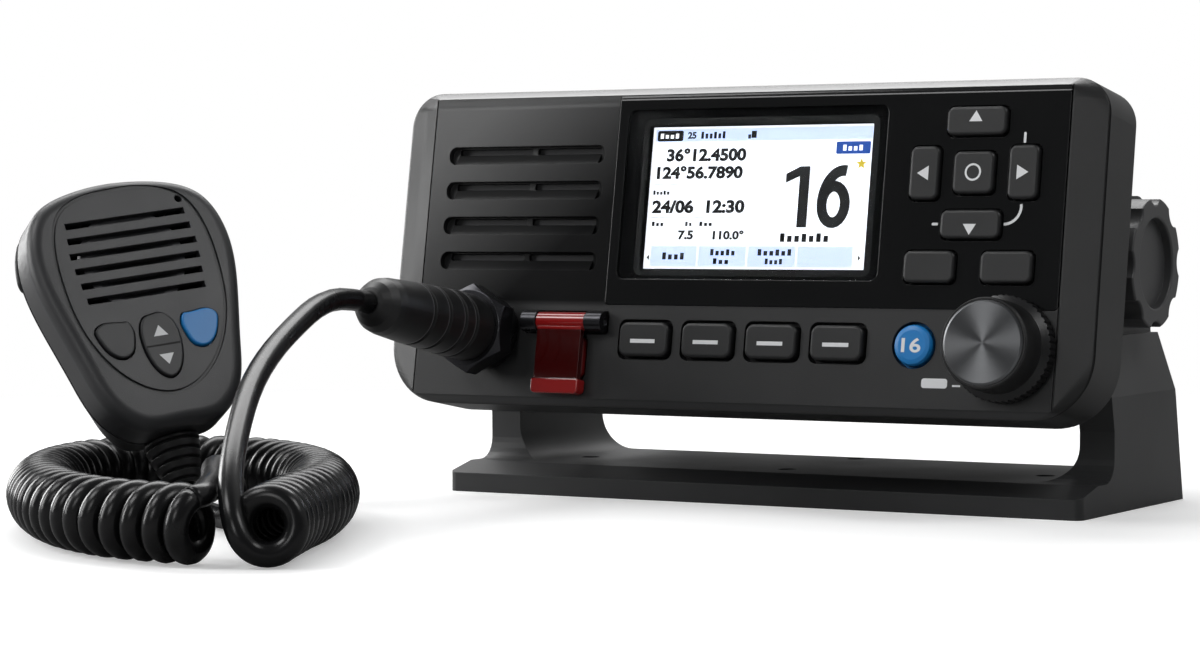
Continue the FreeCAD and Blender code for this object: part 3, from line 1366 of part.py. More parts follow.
def mic_relief():
    """A ribbed rubber cone below the microphone, with a neck and a flange inside the covers."""
    top, lower, upper = relief_levels()
    tip = top - value("relief_length")
    wide, narrow = value("relief_top_radius"), value("relief_tip_radius")
    bore = value("cord_radius") + 0.05
    points = [Vector(0, 0, tip), Vector(narrow, 0, tip)]
    ribs = 5
    for rib in range(ribs):
        level = tip + (rib + 0.5) * (top - tip) / ribs
        radius = narrow + (wide - narrow) * (rib + 0.5) / ribs
        points += [Vector(radius + 0.2, 0, level - 0.5), Vector(radius - 0.6, 0, level),
                   Vector(radius + 0.3, 0, level + 0.4)]
    neck = value("relief_neck_radius")
    flange = neck + value("relief_flange")
    points += [Vector(wide, 0, top), Vector(neck, 0, top), Vector(neck, 0, lower), Vector(flange, 0, lower),
               Vector(flange, 0, upper), Vector(0, 0, upper)]
    face = Part.Face(Part.makePolygon(points + points[:1]))
    cone = face.revolve(Vector(), Vector(0, 0, 1), 360)
    cone.translate(Vector(0, value("relief_depth"), 0))
    return mic_part("mic_relief", cone)


def mic_fasteners():
    end, wall = value("mic_depth"), value("mic_wall")
    radius, seat = value("mic_screw_radius"), value("mic_screw_seat")
    screws = []
    for across, up in MIC_SCREWS:
        centre = Vector(across, 0, up)
        head = pin(centre, 2 * radius, seat, seat + 1.6)
        screws.append(pin(centre, radius, wall + 2, seat + 0.1).fuse(head))
    feature = document.addObject("Part::Feature", "mic_screws")
    feature.Shape = Part.makeCompound(screws)
    seat_on_mic(feature)
    nodes.append(feature)
    centre = Vector(0, 0, value("stud_up"))
    radius, length = value("stud_radius"), value("stud_length")
    head = pin(centre, radius, end + length - 2.5, end + length)
    stud = pin(centre, radius * 0.6, end, end + length - 2).fuse(head)
    stud = stud.makeFillet(0.8, mic_edges(stud, end + length))
    mic_part("mic_hanger_stud", stud)


# ---------------------------------------------------------------- cord

def rounded_path(route):
    """Straight runs joined by tangent arcs, each as large as its runs allow.  Gives the wire and radii."""
    points = [Vector(*point) for point in route]
    edges = []
    radii = []
    last = points[0]
    for before, corner, after in zip(points, points[1:], points[2:]):
        back, ahead = before - corner, after - corner
        reach = 0.45 * min(back.Length, ahead.Length)
        back.normalize()
        ahead.normalize()
        turn = math.pi - back.getAngle(ahead)
        radii.append(reach / math.tan(turn / 2))
        start, end = corner + back * reach, corner + ahead * reach
        inward = (back + ahead).normalize()
        centre = corner + inward * (radii[-1] / math.cos(turn / 2))
        edges.append(Part.LineSegment(last, start).toShape())
        edges.append(Part.Arc(start, centre - inward * radii[-1], end).toShape())
        last = end
    edges.append(Part.LineSegment(last, points[-1]).toShape())
    return Part.Wire(edges), radii


def cord_tube(name, route, radius):
    path, radii = rounded_path(route)
    start = Vector(*route[0])
    circle = Part.Circle(start, Vector(*route[1]) - start, radius)
    tube = path.makePipeShell([Part.Wire(circle.toShape())], True, False)
    expected = math.pi * radius ** 2 * path.Length
    print(f"{name}: length {path.Length:.1f}, tightest arcs {[round(r, 1) for r in sorted(radii)[:4]]},"
          f" volume {tube.Volume / expected:.4f} of section x length, lowest {tube.BoundBox.ZMin:.2f}")
    feature = document.addObject("Part::Feature", name)
    feature.Label = name
    feature.Shape = tube
    nodes.append(feature)


# ---------------------------------------------------------------- the whole

def build():
    front_panel()
    display_panel()
    lcd_module()
    for key in [*KEYS, DISTRESS]:
        make_key(*key)
    for key in SOFT:
        make_key(*key, "soft_corner")
    key_channel()
    key_mat()
    front_board()
    grille_and_speaker()
    distress_cover()
    cover_hinge()
    volume_knob()
    microphone_plug()
    gasket()
    rear_chassis()
    radio_screws()
    main_board()
    rear_connectors()
    bracket()
    clamp_knob("left", -1)
    clamp_knob("right", 1)
    tilt_washers()
    mic_front_cover()
    mic_rear_cover()
    mic_keys()
    mic_board()
    mic_speaker()
    mic_ptt_button()
    mic_relief()
    mic_fasteners()
    cord_tube("cord_lead", LEAD_ROUTE, value("cord_radius"))
    cord_tube("cord_coil", RING_ROUTE, value("coil_radius"))
    cord_tube("cord_tail", TAIL_ROUTE, value("cord_radius"))


def check():
    for item in document.Objects:
        assert not {"Invalid", "Error"} & set(item.State), f"{item.Name} failed: {item.State}"
    for node in nodes:
        shape = node.Shape
        assert not shape.isNull() and shape.isValid() and shape.Volume > 0, f"{node.Name} is no solid"


def write():
    os.makedirs("parts", exist_ok=True)
    for node in nodes:
        node.Shape.exportStep(f"parts/{node.Label}.step")


fill_sheet()
build()
document.recompute()
check()
write()
print(f"{len(nodes)} sub-parts")
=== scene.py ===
import json
import math

import bmesh
import bpy
from mathutils import Matrix, Vector

# A fixed-mount marine radio with its microphone on a curly cord.  Places are given in millimetres, in the
# radio's own frame (across, into the radio and up the face), the microphone's own frame, or the row frame,
# and turned into metres of the row frame where a piece is made.
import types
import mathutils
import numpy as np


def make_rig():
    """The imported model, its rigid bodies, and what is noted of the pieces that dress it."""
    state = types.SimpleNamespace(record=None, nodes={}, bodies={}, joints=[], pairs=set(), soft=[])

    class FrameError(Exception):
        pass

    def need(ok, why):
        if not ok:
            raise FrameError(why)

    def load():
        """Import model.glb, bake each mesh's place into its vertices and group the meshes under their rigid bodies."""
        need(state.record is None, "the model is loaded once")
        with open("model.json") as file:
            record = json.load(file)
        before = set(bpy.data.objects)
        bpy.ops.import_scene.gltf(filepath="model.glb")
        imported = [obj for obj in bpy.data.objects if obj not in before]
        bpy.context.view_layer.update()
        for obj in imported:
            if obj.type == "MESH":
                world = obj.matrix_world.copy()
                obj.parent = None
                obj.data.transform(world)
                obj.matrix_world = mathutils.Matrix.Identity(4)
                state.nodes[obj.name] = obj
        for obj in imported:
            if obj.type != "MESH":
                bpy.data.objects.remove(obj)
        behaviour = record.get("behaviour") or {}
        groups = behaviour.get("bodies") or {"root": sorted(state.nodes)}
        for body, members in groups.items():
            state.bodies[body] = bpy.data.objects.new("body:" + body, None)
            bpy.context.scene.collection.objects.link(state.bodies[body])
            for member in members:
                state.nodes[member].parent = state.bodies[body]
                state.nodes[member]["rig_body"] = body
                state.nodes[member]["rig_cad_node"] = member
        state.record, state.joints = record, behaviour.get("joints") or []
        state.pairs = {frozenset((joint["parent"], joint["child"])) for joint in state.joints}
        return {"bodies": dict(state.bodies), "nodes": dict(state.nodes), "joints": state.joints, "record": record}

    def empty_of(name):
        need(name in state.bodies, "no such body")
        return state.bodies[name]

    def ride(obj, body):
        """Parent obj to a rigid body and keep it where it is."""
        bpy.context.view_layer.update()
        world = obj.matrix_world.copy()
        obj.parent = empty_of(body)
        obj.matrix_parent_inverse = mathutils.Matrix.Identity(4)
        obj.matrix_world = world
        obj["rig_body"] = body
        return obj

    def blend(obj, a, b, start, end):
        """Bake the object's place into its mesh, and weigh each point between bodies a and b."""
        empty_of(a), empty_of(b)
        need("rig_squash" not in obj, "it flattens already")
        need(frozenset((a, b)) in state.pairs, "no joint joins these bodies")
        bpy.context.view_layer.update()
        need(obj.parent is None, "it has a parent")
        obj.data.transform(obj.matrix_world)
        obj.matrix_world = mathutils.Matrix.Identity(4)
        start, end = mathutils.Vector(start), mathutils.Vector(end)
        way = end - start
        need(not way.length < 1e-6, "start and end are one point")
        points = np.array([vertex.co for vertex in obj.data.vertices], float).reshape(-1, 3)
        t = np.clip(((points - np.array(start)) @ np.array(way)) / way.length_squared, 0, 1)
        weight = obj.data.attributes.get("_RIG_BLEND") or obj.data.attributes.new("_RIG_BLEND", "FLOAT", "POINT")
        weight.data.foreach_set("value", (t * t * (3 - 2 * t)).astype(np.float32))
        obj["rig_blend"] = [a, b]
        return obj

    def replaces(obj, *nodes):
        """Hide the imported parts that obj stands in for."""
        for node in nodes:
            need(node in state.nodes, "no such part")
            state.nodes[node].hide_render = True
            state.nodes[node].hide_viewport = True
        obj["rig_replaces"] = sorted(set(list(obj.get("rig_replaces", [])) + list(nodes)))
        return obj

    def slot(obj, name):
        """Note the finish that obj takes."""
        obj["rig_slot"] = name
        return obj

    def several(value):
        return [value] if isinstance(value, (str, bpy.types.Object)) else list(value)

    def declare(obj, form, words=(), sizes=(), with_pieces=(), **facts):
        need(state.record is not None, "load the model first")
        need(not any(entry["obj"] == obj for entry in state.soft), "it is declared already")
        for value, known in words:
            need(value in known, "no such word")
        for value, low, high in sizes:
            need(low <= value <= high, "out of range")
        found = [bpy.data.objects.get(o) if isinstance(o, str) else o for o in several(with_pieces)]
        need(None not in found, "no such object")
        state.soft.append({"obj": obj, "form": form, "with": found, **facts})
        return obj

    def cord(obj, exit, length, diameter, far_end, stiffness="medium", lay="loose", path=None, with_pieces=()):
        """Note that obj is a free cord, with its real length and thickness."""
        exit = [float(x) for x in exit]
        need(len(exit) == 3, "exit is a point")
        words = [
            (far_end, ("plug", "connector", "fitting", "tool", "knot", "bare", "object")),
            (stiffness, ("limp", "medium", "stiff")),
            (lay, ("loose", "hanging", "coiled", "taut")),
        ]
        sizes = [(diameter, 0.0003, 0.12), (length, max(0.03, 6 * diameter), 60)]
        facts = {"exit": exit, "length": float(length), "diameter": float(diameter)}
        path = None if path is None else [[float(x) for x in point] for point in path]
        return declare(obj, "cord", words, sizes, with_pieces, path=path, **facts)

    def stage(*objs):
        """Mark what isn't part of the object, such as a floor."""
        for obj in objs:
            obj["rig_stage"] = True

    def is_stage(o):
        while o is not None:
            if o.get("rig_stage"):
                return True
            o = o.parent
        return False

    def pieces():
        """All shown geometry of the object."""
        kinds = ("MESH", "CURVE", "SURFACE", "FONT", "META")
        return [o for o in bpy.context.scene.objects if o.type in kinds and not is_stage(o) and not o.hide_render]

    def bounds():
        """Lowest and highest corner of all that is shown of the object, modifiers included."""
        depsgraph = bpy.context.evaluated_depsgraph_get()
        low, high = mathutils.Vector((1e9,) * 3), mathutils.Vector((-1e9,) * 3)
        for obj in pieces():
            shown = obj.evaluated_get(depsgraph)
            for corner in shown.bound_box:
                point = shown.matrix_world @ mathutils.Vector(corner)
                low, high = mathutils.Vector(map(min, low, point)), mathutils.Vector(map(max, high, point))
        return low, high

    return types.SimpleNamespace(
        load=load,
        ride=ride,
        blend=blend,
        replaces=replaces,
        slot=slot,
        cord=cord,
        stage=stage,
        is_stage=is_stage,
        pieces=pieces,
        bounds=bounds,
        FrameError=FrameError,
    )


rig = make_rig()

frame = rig.load()
cad_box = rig.bounds()
MM = 0.001


# ---------------------------------------------------------------- frames of reference

NOSE_UP = math.radians(9.6)
PIVOT = Vector((0, -1, 55))
PIVOT_ON_RADIO = Vector((0, 39.7, 2.7))
RADIO_TURN = Matrix.Rotation(-NOSE_UP, 3, "X")

MIC_ORIGIN = Vector((-105.9, -117.2, 55.6))
MIC_YAW, MIC_LEAN, MIC_ROLL = (math.radians(angle) for angle in (56.9, -23.8, -8.2))
MIC_TURN = (Matrix.Rotation(MIC_YAW, 3, "Z") @ Matrix.Rotation(MIC_LEAN, 3, "X")
            @ Matrix.Rotation(MIC_ROLL, 3, "Y"))


def on_radio(across, depth, up):
    """A place on the radio, in metres of the row frame."""
    return (RADIO_TURN @ (Vector((across, depth, up)) - PIVOT_ON_RADIO) + PIVOT) * MM


def on_mic(across, depth, up):
    """A place on the microphone, in metres of the row frame."""
    return (MIC_TURN @ Vector((across, depth, up)) + MIC_ORIGIN) * MM


RADIO_ORIGIN = on_radio(0, 0, 0)
RADIO_UP = (on_radio(0, 0, 1) - RADIO_ORIGIN).normalized()
INTO_RADIO = (on_radio(0, 1, 0) - RADIO_ORIGIN).normalized()
ACROSS_RADIO = Vector((1, 0, 0))


# ---------------------------------------------------------------- shader nodes

def feed(tree, node, inputs):
    """Link inputs of a node from sockets, or set them to plain values."""
    for name, source in inputs.items():
        if isinstance(source, bpy.types.NodeSocket):
            tree.links.new(source, node.inputs[name])
        else:
            node.inputs[name].default_value = source


def add_node(tree, kind, inputs, **settings):
    """A new shader node with its settings and inputs."""
    node = tree.nodes.new("ShaderNode" + kind)
    for name, value in settings.items():
        setattr(node, name, value)
    feed(tree, node, inputs)
    return node


def object_place(tree):
    """A socket with the place on the object."""
    return add_node(tree, "TexCoord", {}).outputs["Object"]


def product(tree, first, second):
    """A socket with the product of two values."""
    return add_node(tree, "Math", {0: first, 1: second}, operation="MULTIPLY").outputs[0]


def ramp(tree, level, start, end, low=0.0, high=1.0, style="LINEAR"):
    """A socket that goes from low to high while the level goes from start to end."""
    inputs = {"Value": level, "From Min": start, "From Max": end, "To Min": low, "To Max": high}
    return add_node(tree, "MapRange", inputs, interpolation_type=style).outputs["Result"]


def between(tree, level, low, high, soft=0.2):
    """A socket that is 1 where the level lies between two bounds, and 0 elsewhere."""
    rise = ramp(tree, level, low - soft, low + soft)
    fall = ramp(tree, level, high - soft, high + soft, 1, 0)
    return product(tree, rise, fall)


def measure_along(tree, direction, origin):
    """A socket with the distance in millimetres from a point, along a direction of the row frame."""
    inputs = {0: object_place(tree), 1: direction / MM}
    length = add_node(tree, "VectorMath", inputs, operation="DOT_PRODUCT").outputs["Value"]
    return add_node(tree, "Math", {0: length, 1: direction.dot(origin) / MM}, operation="SUBTRACT").outputs[0]


def mix_shaders(tree, share, first, second):
    """A socket with two shaders mixed: the share is that of the second."""
    return add_node(tree, "MixShader", {"Fac": share, 1: first, 2: second}).outputs[0]


def ray_mix(tree, shaded, seen):
    """Mix two shaders: the second for rays from the camera."""
    from_camera = add_node(tree, "LightPath", {}).outputs["Is Camera Ray"]
    return mix_shaders(tree, from_camera, shaded, seen)


# ---------------------------------------------------------------- camera, light and floor

CAMERA_PLACE = Vector((346.5, -679.0, 67.0)) * MM
CAMERA_YAW = math.radians(30.73)
CAMERA_PITCH = math.radians(2.21)
CAMERA_ROLL = math.radians(-0.22)
CAMERA_LENS = 97.0
CAMERA_NEAREST = 0.01
SENSOR_WIDTH = 36.0

# Each lamp's name, its place and the place that it points at in metres, its width and height, and its watts.
LAMPS = (
    ("key", (-0.55, -0.75, 0.95), (0, -0.05, 0.05), (0.5, 0.4), 4.5),
    ("left", (-0.95, -0.6, 0.3), (0, -0.05, 0.05), (0.25, 0.5), 4.5),
    ("rim", (-1.15, 0.12, 0.3), (-0.1, -0.12, 0.05), (0.4, 0.5), 5),
    ("front", (0.02, -1.2, 0.42), (0, -0.05, 0.05), (0.25, 0.35), 1.5),
    ("right", (0.7, -0.2, 0.8), (-0.05, -0.1, 0.05), (0.35, 0.35), 2.5),
    ("top", (-0.4, 0.4, 0.85), (0, 0, 0.05), (1.1, 0.5), 8.5),
)

WHITE = (1, 1, 1, 1)
ROOM_COLOR = (0.5, 0.51, 0.52, 1)
ROOM_LIGHT = 0.24
BACKDROP_START, BACKDROP_END = -0.1, 0.35
BACKDROP_SHARE = 0.35

FLOOR_HALF = 6.0
FLOOR_COLOR = (0.8, 0.8, 0.8, 1)
FLOOR_BOUNCE = (0.3, 0.3, 0.3, 1)
FLOOR_LIFT = 0.35
FLOOR_CENTRE = (-0.03, -0.06, 0)
FADE_START, FADE_END = 0.2, 0.5


def make_camera():
    camera = bpy.data.objects.new("camera", bpy.data.cameras.new("camera"))
    camera.data.lens = CAMERA_LENS
    camera.data.sensor_width = SENSOR_WIDTH
    camera.data.clip_start = CAMERA_NEAREST
    turn = (Matrix.Rotation(CAMERA_YAW, 4, "Z") @ Matrix.Rotation(math.pi / 2 - CAMERA_PITCH, 4, "X")
            @ Matrix.Rotation(CAMERA_ROLL, 4, "Z"))
    camera.matrix_world = Matrix.Translation(CAMERA_PLACE) @ turn
    bpy.context.scene.collection.objects.link(camera)
    bpy.context.scene.camera = camera


def add_lamp(name, place, target, size, power):
    lamp = bpy.data.objects.new(name, bpy.data.lights.new(name, "AREA"))
    lamp.data.shape = "RECTANGLE"
    lamp.data.size, lamp.data.size_y = size
    lamp.data.energy = power
    direction = Vector(target) - Vector(place)
    lamp.matrix_world = Matrix.Translation(place) @ direction.to_track_quat("-Z", "Y").to_matrix().to_4x4()
    bpy.context.scene.collection.objects.link(lamp)


def make_world():
    """White where the camera sees it, and a grey room for the rest.

    Mirroring and clear surfaces also show a paler backdrop behind the object.
    """
    world = bpy.data.worlds.new("studio")
    bpy.context.scene.world = world
    world.use_nodes = True
    tree = world.node_tree
    room = tree.nodes["Background"]
    feed(tree, room, {"Color": ROOM_COLOR, "Strength": ROOM_LIGHT})
    white = add_node(tree, "Background", {"Color": WHITE, "Strength": 1.0}).outputs[0]
    direction = add_node(tree, "TexCoord", {}).outputs["Generated"]
    rearward = add_node(tree, "SeparateXYZ", {0: direction}).outputs["Y"]
    backdrop = ramp(tree, rearward, BACKDROP_START, BACKDROP_END, high=BACKDROP_SHARE)
    path = add_node(tree, "LightPath", {}).outputs
    inputs = {0: path["Is Glossy Ray"], 1: path["Is Transmission Ray"]}
    shiny = add_node(tree, "Math", inputs, operation="MAXIMUM").outputs[0]
    mirrored = mix_shaders(tree, product(tree, shiny, backdrop), room.outputs[0], white)
    feed(tree, tree.nodes["World Output"], {"Surface": ray_mix(tree, mirrored, white)})


def floor_material():
    """Shaded white near the object and plain white beyond; grey for all rays but the camera's."""
    material = bpy.data.materials.new("floor_white")
    material.use_nodes = True
    tree = material.node_tree
    shader = tree.nodes["Principled BSDF"]
    feed(tree, shader, {"Base Color": FLOOR_COLOR, "Roughness": 1.0, "Specular IOR Level": 0.0})
    lift = add_node(tree, "Emission", {"Strength": FLOOR_LIFT}).outputs[0]
    near = add_node(tree, "AddShader", {0: shader.outputs[0], 1: lift}).outputs[0]
    plain_white = add_node(tree, "Emission", {"Strength": 1.0}).outputs[0]
    inputs = {0: object_place(tree), 1: FLOOR_CENTRE}
    distance = add_node(tree, "VectorMath", inputs, operation="DISTANCE").outputs["Value"]
    fade = ramp(tree, distance, FADE_START, FADE_END, style="SMOOTHSTEP")
    faded = mix_shaders(tree, fade, near, plain_white)
    bounce = add_node(tree, "BsdfDiffuse", {"Color": FLOOR_BOUNCE}).outputs[0]
    feed(tree, tree.nodes["Material Output"], {"Surface": ray_mix(tree, bounce, faded)})
    return material


def make_floor():
    """A white floor that keeps the object's shadow and fades into the white background."""
    mesh = bpy.data.meshes.new("floor")
    corners = [(-FLOOR_HALF, -FLOOR_HALF, 0), (FLOOR_HALF, -FLOOR_HALF, 0),
               (FLOOR_HALF, FLOOR_HALF, 0), (-FLOOR_HALF, FLOOR_HALF, 0)]
    mesh.from_pydata(corners, [], [(0, 1, 2, 3)])
    mesh.materials.append(floor_material())
    floor = bpy.data.objects.new("floor", mesh)
    bpy.context.scene.collection.objects.link(floor)
    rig.stage(floor)


make_camera()
make_world()
make_floor()
for lamp_values in LAMPS:
    add_lamp(*lamp_values)
bpy.context.scene.view_settings.view_transform = "Standard"


# ---------------------------------------------------------------- materials

COAT_ROUGHNESS = 0.08
LEAST_ROUGHNESS = 0.02
ROUGHNESS_SPREAD = 0.15
CLOUD_SCALE, CLOUD_DETAIL = 60, 5
GRAIN_DETAIL = 3
GRAIN_DEPTH = 0.1 * MM
BEVEL_SAMPLES = 4

# Finishes: the linear colour, the roughness, and what isn't as new_material has it by default.
FINISHES = {
    "panel_black": dict(color=(0.0078, 0.008, 0.0083), roughness=0.42, specular=0.42, grain=0.25,
                        grain_size=0.25),
    "deck_gloss": dict(color=(0.0055, 0.0057, 0.006), roughness=0.14, specular=0.35),
    "window_glass": dict(color=(0.93, 0.95, 0.96), roughness=0.03, shade=0.02, transmission=1.0, ior=1.15,
                         bevel=0),
    "screen": dict(color=(0.01, 0.01, 0.011), roughness=0.4),
    "key_grey": dict(color=(0.0115, 0.0118, 0.0124), roughness=0.42, grain=0.2, grain_size=0.2),
    "key_blue": dict(color=(0.008, 0.2, 0.54), roughness=0.38),
    "red_button": dict(color=(0.12, 0.004, 0.004), roughness=0.35, coat=0.3),
    "red_cover": dict(color=(0.3, 0.008, 0.008), roughness=0.12, coat=0.6),
    "dark_metal": dict(color=(0.05, 0.05, 0.055), roughness=0.28, metallic=0.9, grain=0.05),
    "knob_dark": dict(color=(0.008, 0.008, 0.0085), roughness=0.32, grain=0.1),
    "knob_face": dict(color=(0.17, 0.174, 0.18), roughness=0.3, metallic=1.0),
    "rubber_black": dict(color=(0.009, 0.009, 0.0095), roughness=0.42, grain=0.15),
    "cord_black": dict(color=(0.006, 0.006, 0.0065), roughness=0.27, specular=0.32, grain=0.05, bevel=0),
    "silicone": dict(color=(0.2, 0.2, 0.21), roughness=0.6),
    "chassis_black": dict(color=(0.014, 0.014, 0.015), roughness=0.5, grain=0.4, grain_size=0.4),
    "bracket_black": dict(color=(0.031, 0.0315, 0.0325), roughness=0.46, grain=0.3, grain_size=0.25),
    "clamp_black": dict(color=(0.06, 0.0605, 0.062), roughness=0.42, grain=0.15),
    "mesh_dark": dict(color=(0.03, 0.03, 0.031), roughness=0.5, metallic=0.7, grain=0.3, grain_size=0.5),
    "steel": dict(color=(0.5, 0.51, 0.52), roughness=0.3, metallic=1.0),
    "nickel": dict(color=(0.6, 0.6, 0.58), roughness=0.2, metallic=1.0),
    "boot_black": dict(color=(0.009, 0.009, 0.0095), roughness=0.42, grain=0.15),
    "connector_black": dict(color=(0.02, 0.02, 0.02), roughness=0.4),
    "board_green": dict(color=(0.02, 0.14, 0.05), roughness=0.4),
    "speaker_steel": dict(color=(0.08, 0.08, 0.085), roughness=0.4, metallic=0.6),
    "speaker_paper": dict(color=(0.05, 0.05, 0.05), roughness=0.8, grain=0.4),
    "mic_shell": dict(color=(0.027, 0.0275, 0.0295), roughness=0.42, grain=0.25, grain_size=0.25),
    "mic_key_grey": dict(color=(0.017, 0.0175, 0.019), roughness=0.45, grain=0.15),
    "print_white": dict(color=(0.8, 0.81, 0.82), roughness=0.5, bevel=0),
    "gap_black": dict(color=(0.003, 0.003, 0.003), roughness=0.7, bevel=0),
    "screen_white": dict(color=(0.95, 0.96, 1.0), roughness=0.8, bevel=0, shade=0.01, emission=0.95),
    "screen_pale": dict(color=(0.58, 0.68, 0.93), roughness=0.8, bevel=0, shade=0.01, emission=0.9),
    "screen_line": dict(color=(0.62, 0.64, 0.68), roughness=0.8, bevel=0, shade=0.01, emission=0.8),
    "screen_ink": dict(color=(0.006, 0.006, 0.008), roughness=0.6, bevel=0),
    "screen_navy": dict(color=(0.01, 0.06, 0.3), roughness=0.6, bevel=0, emission=0.9),
    "screen_gold": dict(color=(0.55, 0.42, 0.03), roughness=0.6, bevel=0, emission=0.8),
}


def surface_normal(tree, bevel, grain, grain_size):
    """A socket with the normal of soft edges and fine grain, or None where a finish has neither."""
    normal = None
    if bevel:
        edge = add_node(tree, "Bevel", {"Radius": bevel * MM}, samples=BEVEL_SAMPLES)
        normal = edge.outputs["Normal"]
    if grain:
        inputs = {"Vector": object_place(tree), "Scale": 1 / (grain_size * MM), "Detail": GRAIN_DETAIL}
        noise = add_node(tree, "TexNoise", inputs).outputs["Fac"]
        bump = add_node(tree, "Bump", {"Strength": grain, "Distance": GRAIN_DEPTH, "Height": noise})
        if normal:
            feed(tree, bump, {"Normal": normal})
        normal = bump.outputs["Normal"]
    return normal


def new_material(name, color, roughness, metallic=0.0, specular=0.5, coat=0.0, grain=0.0, grain_size=0.3,
                 shade=0.15, bevel=0.25, transmission=0.0, ior=1.5, emission=0.0):
    """A procedural finish.

    Bevel is the radius of its edges and grain_size that of its grain, in millimetres.  Grain is the bump's
    strength, and shade how far the colour varies.
    """
    material = bpy.data.materials.new(name)
    material.use_nodes = True
    tree = material.node_tree
    inputs = {"Vector": object_place(tree), "Scale": CLOUD_SCALE, "Detail": CLOUD_DETAIL}
    cloud = add_node(tree, "TexNoise", inputs).outputs["Fac"]
    darker = (*[channel * (1 - shade) for channel in color], 1)
    lighter = (*[min(1, channel * (1 + shade)) for channel in color], 1)
    tone = add_node(tree, "Mix", {"Factor": cloud, "A": darker, "B": lighter}, data_type="RGBA")
    rough = ramp(tree, cloud, 0, 1, max(LEAST_ROUGHNESS, roughness * (1 - ROUGHNESS_SPREAD)),
                 min(1.0, roughness * (1 + ROUGHNESS_SPREAD)))
    shader = tree.nodes["Principled BSDF"]
    feed(tree, shader, {"Base Color": tone.outputs["Result"], "Roughness": rough, "Metallic": metallic,
                        "Specular IOR Level": specular, "Coat Weight": coat, "Coat Roughness": COAT_ROUGHNESS,
                        "Transmission Weight": transmission, "IOR": ior})
    normal = surface_normal(tree, bevel, grain, grain_size)
    if normal:
        feed(tree, shader, {"Normal": normal})
    if emission:
        feed(tree, shader, {"Emission Color": (*color, 1), "Emission Strength": emission})
    return material


# ---------------------------------------------------------------- paint and polish

# Zones of the radio's face, in its own millimetres, from a lower to an upper bound
STRIP_UP, STRIP_ACROSS = (-35.2, -13.6), (-81, 81)
STRIP_COLOR = (0.014, 0.0143, 0.0148)
# The lip along the bottom of the face: a lighter band that is a painted highlight
LIP_HIGHLIGHT_UP, LIP_HIGHLIGHT_SOFT = (-36.9, -35.3), 0.3
LIP_HIGHLIGHT_COLOR = (0.045, 0.0455, 0.0465)
LOUVRES_UP, LOUVRES_ACROSS, LOUVRES_SOFT = (-13.4, 34.5), (-84.5, 58), 0.8
FLAP_UP = (-31.2, -19.6)
FLAP_COLOR = (0.045, 0.0015, 0.0015)

# How the louvred part changes along a slanting line, from the display panel to its upper left
SLANT = ACROSS_RADIO * 0.64 - RADIO_UP * 0.77
PLAIN_GLOSS = 0.5
DULL_FROM, GLOSSY_FROM = -28, -66
DULL, GLOSSY = 0.04, 0.75
FLAT_FROM, LEANT_FROM = -38, -72
MOST_LEAN = 0.19

# Painted highlights on the rims of the boot's ribs, at these distances in front of the radio's face
BOOT_RIM_HIGHLIGHTS = (16.8, 21.2, 27.2, 33.2)
RIM_HIGHLIGHT_WIDTH, RIM_HIGHLIGHT_SOFT = 0.3, 0.15
RIM_HIGHLIGHT_COLOR = (0.12, 0.12, 0.125)

# The polished top edges: their lower and upper level and how soft those are, how deep the edges go, how far
# they roll over and how glossy they are
PANEL_EDGE, DECK_EDGE = (33.6, 36.3, 1.3), (34.2, 36, 0.5)
EDGE_DEPTH, EDGE_SOFT = (-1, 2.4), 0.4
EDGE_LEAN = 0.8
EDGE_COAT = 0.9

KNOB_CENTRE = on_radio(69.8, -13, -22.2)
BRUSHED = 0.85
RING_SCALE = 4000
RING_STRENGTH, RING_DEPTH = 0.15, 0.05 * MM


def paint_zone(material, zone, color):
    """Colour the zone of a finish differently."""
    tree = material.node_tree
    shader = tree.nodes["Principled BSDF"]
    under = shader.inputs["Base Color"].links[0].from_socket
    mix = add_node(tree, "Mix", {"Factor": zone, "A": under, "B": (*color, 1)}, data_type="RGBA")
    feed(tree, shader, {"Base Color": mix.outputs["Result"]})


def lean_up(material, share, amount):
    """Turn a finish's normals up the radio's face, by an amount times the share."""
    tree = material.node_tree
    shader = tree.nodes["Principled BSDF"]
    lean = add_node(tree, "VectorMath", {0: RADIO_UP * amount, "Scale": share}, operation="SCALE").outputs[0]
    under = shader.inputs["Normal"].links[0].from_socket
    leant = add_node(tree, "VectorMath", {0: under, 1: lean}, operation="ADD").outputs[0]
    unit = add_node(tree, "VectorMath", {0: leant}, operation="NORMALIZE").outputs[0]
    feed(tree, shader, {"Normal": unit})


def paint_strip_and_lip_highlight(material):
    """The strip below the display panel is lighter than the rest, and the lip under it has a painted highlight."""
    tree = material.node_tree
    up = measure_along(tree, RADIO_UP, RADIO_ORIGIN)
    across = measure_along(tree, ACROSS_RADIO, RADIO_ORIGIN)
    strip = product(tree, between(tree, up, *STRIP_UP), between(tree, across, *STRIP_ACROSS))
    paint_zone(material, strip, STRIP_COLOR)
    # Painted highlight: a lighter band along the lip at the bottom of the face
    paint_zone(material, between(tree, up, *LIP_HIGHLIGHT_UP, LIP_HIGHLIGHT_SOFT), LIP_HIGHLIGHT_COLOR)


